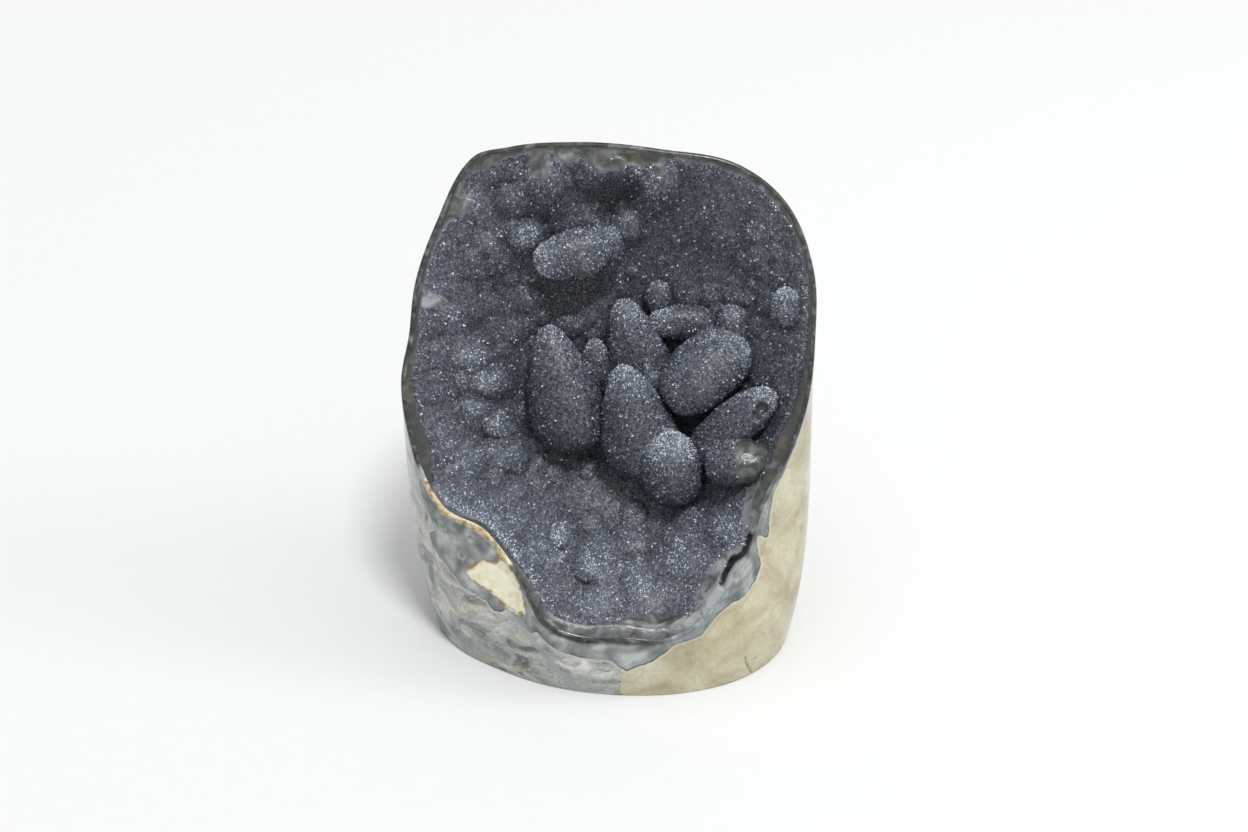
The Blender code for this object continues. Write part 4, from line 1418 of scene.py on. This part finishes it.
@dataclass
class QuartzPoints:
    """Tiny three-sided quartz points that cover the crust and the crystals.

    Attributes:
        pitch: Usual distance between two points.
        radius: Smallest and largest radius of a point's foot.
        height: Smallest and largest height of a point over its foot.
        lean: How far the points lean at most, as a slope.
        sunk: How deep a point's foot lies under the surface.
        milky: Share of the points that are milky and larger.
        milky_size: How many times larger a milky point is, at least and at most.
    """

    pitch: float = 0.37
    radius: tuple[float, float] = (0.21, 0.36)
    height: tuple[float, float] = (0.26, 0.46)
    lean: float = 0.45
    sunk: float = 0.12
    milky: float = 0.014
    milky_size: tuple[float, float] = (0.9, 1.5)

    def mesh(self, name: str, places: np.ndarray, normals: np.ndarray, pale: np.ndarray,
             random: np.random.Generator) -> bpy.types.Mesh:
        """Join one point for each place in a mesh.

        Args:
            name: Name of the mesh.
            places: Places on the surface, in millimetres.
            normals: Directions out of the surface there.
            pale: How pale each point is, from -1 to 1, painted shade and painted light included.
            random: Source of the points' sizes and turns.

        Returns:
            The mesh, with the tone of each point on it.
        """
        count = len(places)
        cone = bmesh.new()
        bmesh.ops.create_cone(cone, cap_ends=True, segments=3, radius1=1.0, radius2=0.0, depth=1.0)
        corners = np.array([corner.co for corner in cone.verts])
        corners[:, 2] += 0.5
        cone.verts.index_update()
        bmesh.ops.triangulate(cone, faces=cone.faces)
        faces = np.array([[corner.index for corner in face.verts] for face in cone.faces])
        cone.free()
        milky = random.random(count) < self.milky
        size = np.where(milky, random.uniform(*self.milky_size, count), 1.0)
        radius = random.uniform(*self.radius, count) * size
        height = random.uniform(*self.height, count) * size
        up = unit(normals + self.lean * random.uniform(-1.0, 1.0, (count, 3)))
        side = unit(np.cross(up, random.normal(size=(count, 3))))
        across = np.cross(up, side)
        shaped = (
            places[:, None] - self.sunk * normals[:, None]
            + corners[None, :, 0, None] * (side * radius[:, None])[:, None]
            + corners[None, :, 1, None] * (across * radius[:, None])[:, None]
            + corners[None, :, 2, None] * (up * (height + self.sunk)[:, None])[:, None]
        )
        # A random tone of the points' own, plus the painted shade and painted light carried in pale.
        tone = np.clip(random.beta(1.1, 2.5, count) + 0.36 * pale, 0.0, 0.95)
        tone = np.where(milky, random.uniform(0.85, 1.0, count), tone)
        loops = (faces[None] + len(corners) * np.arange(count)[:, None, None]).ravel()
        data = bpy.data.meshes.new(name)
        data.vertices.add(count * len(corners))
        data.vertices.foreach_set("co", shaped.astype(np.float32).ravel())
        data.loops.add(len(loops))
        data.loops.foreach_set("vertex_index", loops.astype(np.int32))
        data.polygons.add(len(loops) // 3)
        data.polygons.foreach_set("loop_start", np.arange(0, len(loops), 3, dtype=np.int32))
        data.update(calc_edges=True)
        write_attribute(data, "tone", np.repeat(tone, len(corners)))
        return data


@dataclass
class CrustPoints:
    """The points on the crust, in pieces small enough to keep whole.

    Attributes:
        hollow: The crust that the points stand on.
        points: The points themselves.
        crystals: Crystals, inside which no point is needed.
        pieces: Number of joined meshes, from left to right.
        shade_shift: How far over the crust a crystal is looked for, whose painted shadow darkens the points
            under it.
        shade_reach: How far from a crystal the painted shadow still darkens the points.
        shade_share: How much darker the painted shadow makes them.
        seed: Seed of the points' places.
    """

    hollow: Hollow
    points: QuartzPoints
    crystals: tuple[Crystal, ...]
    pieces: int = 3
    shade_shift: tuple[float, float, float] = (0.0, 1.4, 0.7)
    shade_reach: float = 2.4
    shade_share: float = 0.8
    seed: int = 23

    def places(self, random: np.random.Generator) -> tuple[np.ndarray, np.ndarray, np.ndarray]:
        """Scatter places evenly over the crust, more of them where it is steep.

        Args:
            random: Source of the places.

        Returns:
            Places on the cut, normals there and how pale the crust is, with painted shade and painted light
            in it.
        """
        cut, grid = self.hollow.cut, 0.86 * self.points.pitch
        rim = cut.rim_place(np.linspace(0.0, math.tau, 90))
        low, high = rim.min(axis=0), rim.max(axis=0)
        x, v = np.meshgrid(*(np.arange(a, b, grid) for a, b in zip(low, high)))
        x = x.ravel() + random.uniform(0.0, grid, x.size)
        v = v.ravel() + random.uniform(0.0, grid, v.size)
        inside = cut.fraction(x, v) < 0.995
        x, v = x[inside], v[inside]
        step = 0.12
        w = self.hollow.surface(x, v)
        slope_x = (self.hollow.surface(x + step, v) - w) / step
        slope_v = (self.hollow.surface(x, v + step) - w) / step
        stretch = np.sqrt(1.0 + slope_x**2 + slope_v**2)
        share = stretch * (grid / self.points.pitch) ** 2 * (1.0 - self.hollow.smoothness(x, v))
        kept = random.random(len(x)) < share
        places = np.column_stack([x, v, w])
        pale, painted_crystal_shadow = self.hollow.tone_and_painted_light(x, v), np.zeros_like(x)
        # Painted shadow: points under and beside each crystal are made darker.
        for crystal in self.crystals:
            kept &= ~crystal.contains(places)
            within = crystal.local(places + np.array(self.shade_shift))[1]
            painted_crystal_shadow = np.maximum(painted_crystal_shadow, smoothstep(-self.shade_reach, 0.4, within))
        pale = pale - self.shade_share * painted_crystal_shadow
        normals = unit(np.column_stack([-slope_x, -slope_v, np.ones_like(x)]))
        return places[kept], normals[kept], pale[kept]

    def build(self, material: bpy.types.Material) -> None:
        """Build the points and dress them.

        Args:
            material: The material of the points.
        """
        random = np.random.default_rng(self.seed)
        places, normals, pale = self.places(random)
        order = np.argsort(places[:, 0])
        for number, part in enumerate(np.array_split(order, self.pieces)):
            name = f"druse_points_{number + 1}"
            data = self.points.mesh(name, places[part], normals[part], pale[part], random)
            data.transform(self.hollow.cut.matrix)
            data.materials.append(material)
            hand_over(new_object(name, data), ())


@dataclass(frozen=True)
class Crystal:
    """One stout calcite crystal between its two ends on the cut.

    Attributes:
        root: Its lower end, as (x, v, w).
        tip: Its free end.
        radius: Its radius at the middle.
        taper: How much slimmer it is at the tip.
        polished_from: Height, from -1 to 1, above which the polish has smoothed it.
        tone: How pale its coat is, from -1 to 1.
        bluntness: How blunt its ends are.
        ridge: How much its three sides stand out.
    """

    root: tuple[float, float, float]
    tip: tuple[float, float, float]
    radius: float
    taper: float = 0.28
    polished_from: float = 2.0
    tone: float = 0.0
    bluntness: float = 0.75
    ridge: float = 0.04

    @property
    def matrix(self) -> Matrix:
        """The crystal's own frame on the cut, with Z towards the tip."""
        root, tip = Vector(self.root), Vector(self.tip)
        turn = (tip - root).to_track_quat("Z", "Y").to_matrix().to_4x4()
        return Matrix.Translation((tip + root) / 2.0) @ turn

    @property
    def half_length(self) -> float:
        """Half the distance between the two ends."""
        return 0.5 * (Vector(self.tip) - Vector(self.root)).length

    def girth(self, height: np.ndarray, turn: np.ndarray) -> np.ndarray:
        """Return the crystal's radius at heights from -1 to 1, in one direction each."""
        round_end = np.clip(1.0 - height**2, 0.0, 1.0) ** (self.bluntness / 2.0)
        sides = 1.0 + self.ridge * np.cos(3.0 * turn)
        return self.radius * round_end * (1.0 - self.taper * height) * sides

    def add(self, mesh: bmesh.types.BMesh, sides: int = 48, rings: int = 32) -> None:
        """Add the crystal to a mesh, in the frame of the cut."""
        ball = bmesh.ops.create_uvsphere(mesh, u_segments=sides, v_segments=rings, radius=1.0)["verts"]
        for point in ball:
            turn = math.atan2(point.co.y, point.co.x)
            girth = float(self.girth(np.float64(point.co.z), np.float64(turn)))
            point.co = (girth * math.cos(turn), girth * math.sin(turn), point.co.z * self.half_length)
        bmesh.ops.transform(mesh, matrix=self.matrix, verts=ball)

    def local(self, places: np.ndarray) -> tuple[np.ndarray, np.ndarray]:
        """Return the heights of places along the crystal and how far inside it they are."""
        frame = np.array(self.matrix)
        own = (places - frame[:3, 3]) @ frame[:3, :3]
        height = own[:, 2] / self.half_length
        turn = np.arctan2(own[:, 1], own[:, 0])
        return height, self.girth(height, turn) - np.hypot(own[:, 0], own[:, 1])

    def contains(self, places: np.ndarray, margin: float = 0.6) -> np.ndarray:
        """Return which places on the cut lie well inside the crystal."""
        return self.local(places)[1] > margin


@dataclass
class CalciteGroups:
    """The calcite crystals, joined where they grew together, coated with quartz points.

    Attributes:
        hollow: The hollow that they stand in.
        points: The points that coat them.
        voxel: Grain of the mesh that joins a group's crystals.
        sunk: How deep they reach into the crust.
        dents: Small glossy dents in the crystals.
        upward: Direction up, in the frame of the cut, which the painted light on the crystals' upper sides
            follows.
        cutter_cells: Cells of the shape that trims their roots.
        cutter_depth: Depth of that shape.
        unevenness: Heights and widths of the uneven coat.
        crystals: The crystals of each solid.
        seed: Seed of the points' sizes.
    """

    hollow: Hollow
    points: QuartzPoints
    voxel: float = 0.42
    sunk: float = 0.6
    cutter_cells: int = 56
    cutter_depth: float = 60.0
    unevenness: tuple[tuple[float, float], ...] = ((0.30, 4.5), (0.16, 1.6))
    crystals: dict[str, tuple[Crystal, ...]] = field(default_factory=lambda: {
        "calcite_left": (
            Crystal((-7.0, 41.6, -20.0), (-13.4, 68.6, -13.5), 7.5, 0.42, tone=-0.22),
            Crystal((-2.5, 53.8, -23.0), (-2.9, 65.4, -16.0), 3.4),
        ),
        "calcite_back": (
            Crystal((9.3, 53.8, -24.0), (3.0, 74.4, -14.5), 6.2, 0.42),
            Crystal((12.0, 48.1, -23.0), (9.2, 58.5, -15.0), 3.0),
        ),
        "calcite_centre": (
            Crystal((9.6, 36.2, -21.5), (2.8, 59.8, -7.5), 7.6, 0.44),
            Crystal((15.0, 31.4, -18.0), (13.2, 44.2, -6.5), 6.5, 0.12, tone=0.2),
        ),
        "calcite_right": (
            Crystal((13.2, 51.6, -12.0), (29.8, 65.8, -14.5), 7.5, 0.0, tone=0.15),
            Crystal((27.6, 63.6, -17.0), (27.6, 73.2, -12.0), 4.0, 0.1),
            Crystal((28.2, 69.5, -20.0), (9.2, 69.8, -17.0), 4.1, 0.1),
        ),
        "calcite_lower_right": (
            Crystal((18.9, 39.4, -15.0), (35.7, 54.5, -4.0), 4.9, 0.05),
            Crystal((21.6, 38.8, -8.5), (35.6, 39.8, -4.5), 5.0, 0.1, 0.05),
        ),
        "calcite_wall_bud": (
            Crystal((0.9, 87.2, -11.0), (-15.8, 82.4, -7.0), 5.1, 0.1, tone=0.45),
            Crystal((0.4, 81.5, -13.0), (0.9, 90.2, -10.0), 2.9, 0.1),
        ),
        "calcite_knob": (Crystal((11.2, 71.6, -20.0), (11.2, 78.4, -17.0), 2.8, 0.1),),
        "calcite_rim_bud": (Crystal((39.2, 69.0, -6.0), (38.8, 77.2, -3.6), 3.4, 0.1, tone=0.7),),
    })
    upward: tuple[float, float, float] = (0.0, 0.895, 0.446)
    dents: tuple[Lump, ...] = (Lump(33.2, 51.3, 1.7, 1.9, 1.0), Lump(32.0, 49.6, 1.5, 1.3, 1.0))
    seed: int = 41

    def all_crystals(self) -> tuple[Crystal, ...]:
        """Return the crystals of all groups in one row."""
        return tuple(crystal for group in self.crystals.values() for crystal in group)

    def cutters(self) -> list[bpy.types.Object]:
        """Return the shapes that trim the roots and the polished ends."""
        cut, mesh = self.hollow.cut, bmesh.new()
        sheet = CutSheet(cut, mesh)
        upper = sheet.add(self.cutter_cells, lambda x, v: self.hollow.form(x, v) - self.sunk, 0.0)
        lower = sheet.add(self.cutter_cells, lambda x, v: 0.0 * x - self.cutter_depth, 0.0)
        bmesh.ops.bridge_loops(mesh, edges=upper + lower)
        ground = new_object("ground_cutter", finish_mesh(mesh, "ground_cutter"))
        mesh = bmesh.new()
        bmesh.ops.create_cube(mesh, size=4.0 * self.cutter_depth)
        lift = 2.0 * self.cutter_depth - self.hollow.polish_depth
        above = Matrix.Translation((*cut.rim.middle, lift))
        return [ground, new_object("polish_cutter", finish_mesh(mesh, "polish_cutter", above))]

    def joined(self, name: str, group: tuple[Crystal, ...],
               cutters: list[bpy.types.Object]) -> bpy.types.Mesh:
        """Return the crystals of one group, joined, made uneven and trimmed.

        Args:
            name: Name of the group.
            group: Its crystals.
            cutters: The shapes that trim it.

        Returns:
            The closed mesh in the frame of the cut.
        """
        mesh = bmesh.new()
        for crystal in group:
            crystal.add(mesh)
        rough = new_object(name, finish_mesh(mesh, name))
        remesh = rough.modifiers.new("joined", "REMESH")
        remesh.mode, remesh.voxel_size = "VOXEL", self.voxel
        data = self.evaluated(rough)
        places = read_places(data)
        normals = np.empty(len(places) * 3, np.float32)
        data.vertex_normals.foreach_get("vector", normals)
        shift = sum(height * cloud(places, size, seed=9) for height, size in self.unevenness)
        places = places + shift[:, None] * normals.reshape(-1, 3)
        places[:, 2] -= self.dented(places) * (normals.reshape(-1, 3)[:, 2] > 0.0)
        write_places(data, places)
        trimmed = new_object(name, data)
        for cutter in cutters:
            cut = trimmed.modifiers.new(cutter.name, "BOOLEAN")
            cut.operation, cut.solver, cut.object = "DIFFERENCE", "EXACT", cutter
        return self.evaluated(trimmed)

    def dented(self, places: np.ndarray) -> np.ndarray:
        """Return how deep the dents are at each place on the cut."""
        return np.max([dent.rise(places[:, 0], places[:, 1]) for dent in self.dents], axis=0)

    @staticmethod
    def evaluated(piece: bpy.types.Object) -> bpy.types.Mesh:
        """Return a piece's mesh with its modifiers applied, and remove the piece."""
        graph = bpy.context.evaluated_depsgraph_get()
        data = bpy.data.meshes.new_from_object(piece.evaluated_get(graph))
        bpy.data.objects.remove(piece)
        return data

    def coated(self, name: str, group: tuple[Crystal, ...], data: bpy.types.Mesh,
               random: np.random.Generator) -> bpy.types.Mesh:
        """Return a group with its points joined to it.

        Args:
            name: Name of the group.
            group: Its crystals.
            data: The trimmed mesh of its crystals.
            random: Source of the points' sizes.

        Returns:
            One mesh, whose points have the second material.
        """
        places = read_places(data)
        normals = np.empty(len(places) * 3, np.float32)
        data.vertex_normals.foreach_get("vector", normals)
        normals = normals.reshape(-1, 3).astype(float)
        dented = smoothstep(0.1, 0.8, self.dented(places) * (normals[:, 2] > 0.0))
        polished = smoothstep(-0.12, -0.02, places[:, 2] + self.hollow.polish_depth)
        polished = np.maximum(polished, dented)
        painted_sheen_at_tips, tones = np.zeros(len(places)), np.zeros(len(places))
        for crystal in group:
            height, inside = crystal.local(places)
            near = (inside > -1.0) & (inside < 1.5)
            uneven = height + 0.15 * cloud(places, 2.0, seed=6)
            end = smoothstep(-0.12, 0.12, uneven - crystal.polished_from)
            polished = np.maximum(polished, end * near * (normals[:, 2] > -0.2))
            # Paler towards the tips: a painted sheen.
            painted_sheen_at_tips = np.maximum(painted_sheen_at_tips, smoothstep(0.3, 1.0, height) * near)
            tones = np.where(near, crystal.tone, tones)
        write_attribute(data, "smooth", polished)
        write_attribute(data, "pale", -0.4 - 0.5 * dented)
        write_attribute(data, "slit", np.full(len(places), 9.0))
        surface = self.hollow.surface(places[:, 0], places[:, 1])
        kept = (places[:, 2] > surface - 0.2) & (polished < 0.5)
        jitter = 0.35 * self.voxel * random.uniform(-1.0, 1.0, (int(kept.sum()), 3))
        # Painted light and shade on the points: paler on sides that face up and higher over the crust,
        # darker near it, over a random cloud of their own tone.
        painted_light_from_above = normals[kept] @ np.array(self.upward)
        painted_light_by_height = smoothstep(0.0, 5.0, places[kept][:, 2] - surface[kept])
        pale = 0.3 * cloud(places[kept], 5.0, seed=4) + 0.95 * painted_sheen_at_tips[kept] + 0.4 * painted_light_from_above + 0.5 * painted_light_by_height
        pale = pale + tones[kept] - 0.65
        points = self.points.mesh(f"{name}_points", places[kept] + jitter, normals[kept], pale, random)
        data.shade_smooth()
        points.polygons.foreach_set("material_index", np.ones(len(points.polygons), np.int32))
        mesh = bmesh.new()
        mesh.from_mesh(data)
        mesh.from_mesh(points)
        both = bpy.data.meshes.new(name)
        mesh.to_mesh(both)
        mesh.free()
        both.transform(self.hollow.cut.matrix)
        return both

    def build(self, crystal: bpy.types.Material, points: bpy.types.Material) -> None:
        """Build every group and dress it.

        Args:
            crystal: The material of the crystals under their points.
            points: The material of the points.
        """
        random = np.random.default_rng(self.seed)
        cutters = self.cutters()
        for name, group in self.crystals.items():
            data = self.coated(name, group, self.joined(name, group, cutters), random)
            for material in (crystal, points):
                data.materials.append(material)
            hand_over(new_object(f"{name}_crystals", data), (name,))
        for cutter in cutters:
            bpy.data.objects.remove(cutter)


@dataclass(frozen=True)
class SoftBox:
    """One rectangular studio light that faces the stone.

    Attributes:
        name: Name of the light.
        place: Where it hangs, in metres.
        size: Width and height of its face.
        power: Its power in watts.
    """

    name: str
    place: tuple[float, float, float]
    size: Place
    power: float

    def hang(self, aim: Vector) -> None:
        """Hang the light so that it faces a point."""
        lamp = bpy.data.lights.new(self.name, "AREA")
        lamp.shape = "RECTANGLE"
        lamp.size, lamp.size_y = self.size
        lamp.energy = self.power
        holder = bpy.data.objects.new(self.name, lamp)
        holder.location = self.place
        holder.rotation_euler = (aim - Vector(self.place)).to_track_quat("-Z", "Y").to_euler()
        bpy.context.scene.collection.objects.link(holder)


@dataclass(frozen=True)
class Sun:
    """One far, soft light that shines from the front.

    Attributes:
        name: Name of the light.
        strength: Its strength.
        spread: How wide it is in the sky, in degrees.
        height: How high it stands, in degrees.
        turn: How far it stands to the right of the front, in degrees.
    """

    name: str
    strength: float
    spread: float
    height: float
    turn: float

    def hang(self) -> None:
        """Hang the light, whose direction is all that counts."""
        lamp = bpy.data.lights.new(self.name, "SUN")
        lamp.energy, lamp.angle = self.strength, math.radians(self.spread)
        holder = bpy.data.objects.new(self.name, lamp)
        holder.rotation_euler = (math.radians(90.0 - self.height), 0.0, math.radians(self.turn))
        bpy.context.scene.collection.objects.link(holder)


@dataclass(frozen=True)
class Studio:
    """White floor, soft light and the camera at the photograph's angle.

    Attributes:
        aim: The point that the camera looks at, in metres.
        elevation: How far the camera looks down, in degrees.
        distance: Distance from the aim to the camera.
        lens: Focal length in millimetres.
        floor_size: Width of the floor.
        daylight: Strength of the white surroundings.
        lights: The soft boxes.
        suns: The far lights from above.
    """

    aim: tuple[float, float, float] = (0.0035, 0.0005, 0.052)
    elevation: float = 30.0
    distance: float = 0.535
    lens: float = 70.0
    floor_size: float = 8.0
    daylight: float = 0.42
    lights: tuple[SoftBox, ...] = (SoftBox("right_window", (0.55, -0.05, 0.42), (0.22, 0.30), 0.9),)
    suns: tuple[Sun, ...] = (Sun("key", 2.05, 11.0, 60.0, 20.0), Sun("sky", 1.2, 100.0, 78.0, 30.0))

    def camera(self) -> None:
        """Set up the camera."""
        lens = bpy.data.cameras.new("camera")
        lens.lens = self.lens
        lens.clip_start, lens.clip_end = 0.01, 20.0
        holder = bpy.data.objects.new("camera", lens)
        lean = math.radians(self.elevation)
        back = Vector((0.0, -math.cos(lean), math.sin(lean)))
        holder.location = Vector(self.aim) + self.distance * back
        holder.rotation_euler = (math.pi / 2.0 - lean, 0.0, 0.0)
        bpy.context.scene.collection.objects.link(holder)
        bpy.context.scene.camera = holder

    def build(self, finish: FloorFinish) -> None:
        """Lay the floor, hang the lights and set up the camera.

        Args:
            finish: The floor's finish.
        """
        mesh = bmesh.new()
        bmesh.ops.create_grid(mesh, x_segments=2, y_segments=2, size=0.5 * self.floor_size)
        data = bpy.data.meshes.new("floor")
        mesh.to_mesh(data)
        mesh.free()
        data.materials.append(finish.material("pale_floor"))
        new_object("floor", data)
        world = bpy.data.worlds.new("daylight")
        world.use_nodes = True
        sky = world.node_tree.nodes["Background"]
        sky.inputs["Color"].default_value = (1.0, 1.0, 1.0, 1.0)
        sky.inputs["Strength"].default_value = self.daylight
        bpy.context.scene.world = world
        for light in self.lights:
            light.hang(Vector(self.aim))
        for sun in self.suns:
            sun.hang()
        self.camera()
        bpy.context.scene.view_settings.view_transform = "Standard"


def main() -> None:
    """Build the stone, its crust, the crystals and the studio, and log each piece's triangle count."""
    logging.basicConfig(level=logging.INFO, format="%(name)s: %(message)s")
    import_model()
    cut = SlantedCut()
    hollow = Hollow(cut)
    stone, druse = StoneFinish(), DruseFinish()
    MatrixRock(hollow, OuterSkin(cut)).build(stone)
    AmethystCrust(hollow).build(druse)
    points = QuartzPoints()
    calcite = CalciteGroups(hollow, points)
    points_material = druse.points_material("druse_points")
    CrustPoints(hollow, points, calcite.all_crystals()).build(points_material)
    calcite.build(druse.crust_material("calcite_coat"), points_material)
    Studio().build(FloorFinish())


if __name__ == "__main__":
    main()
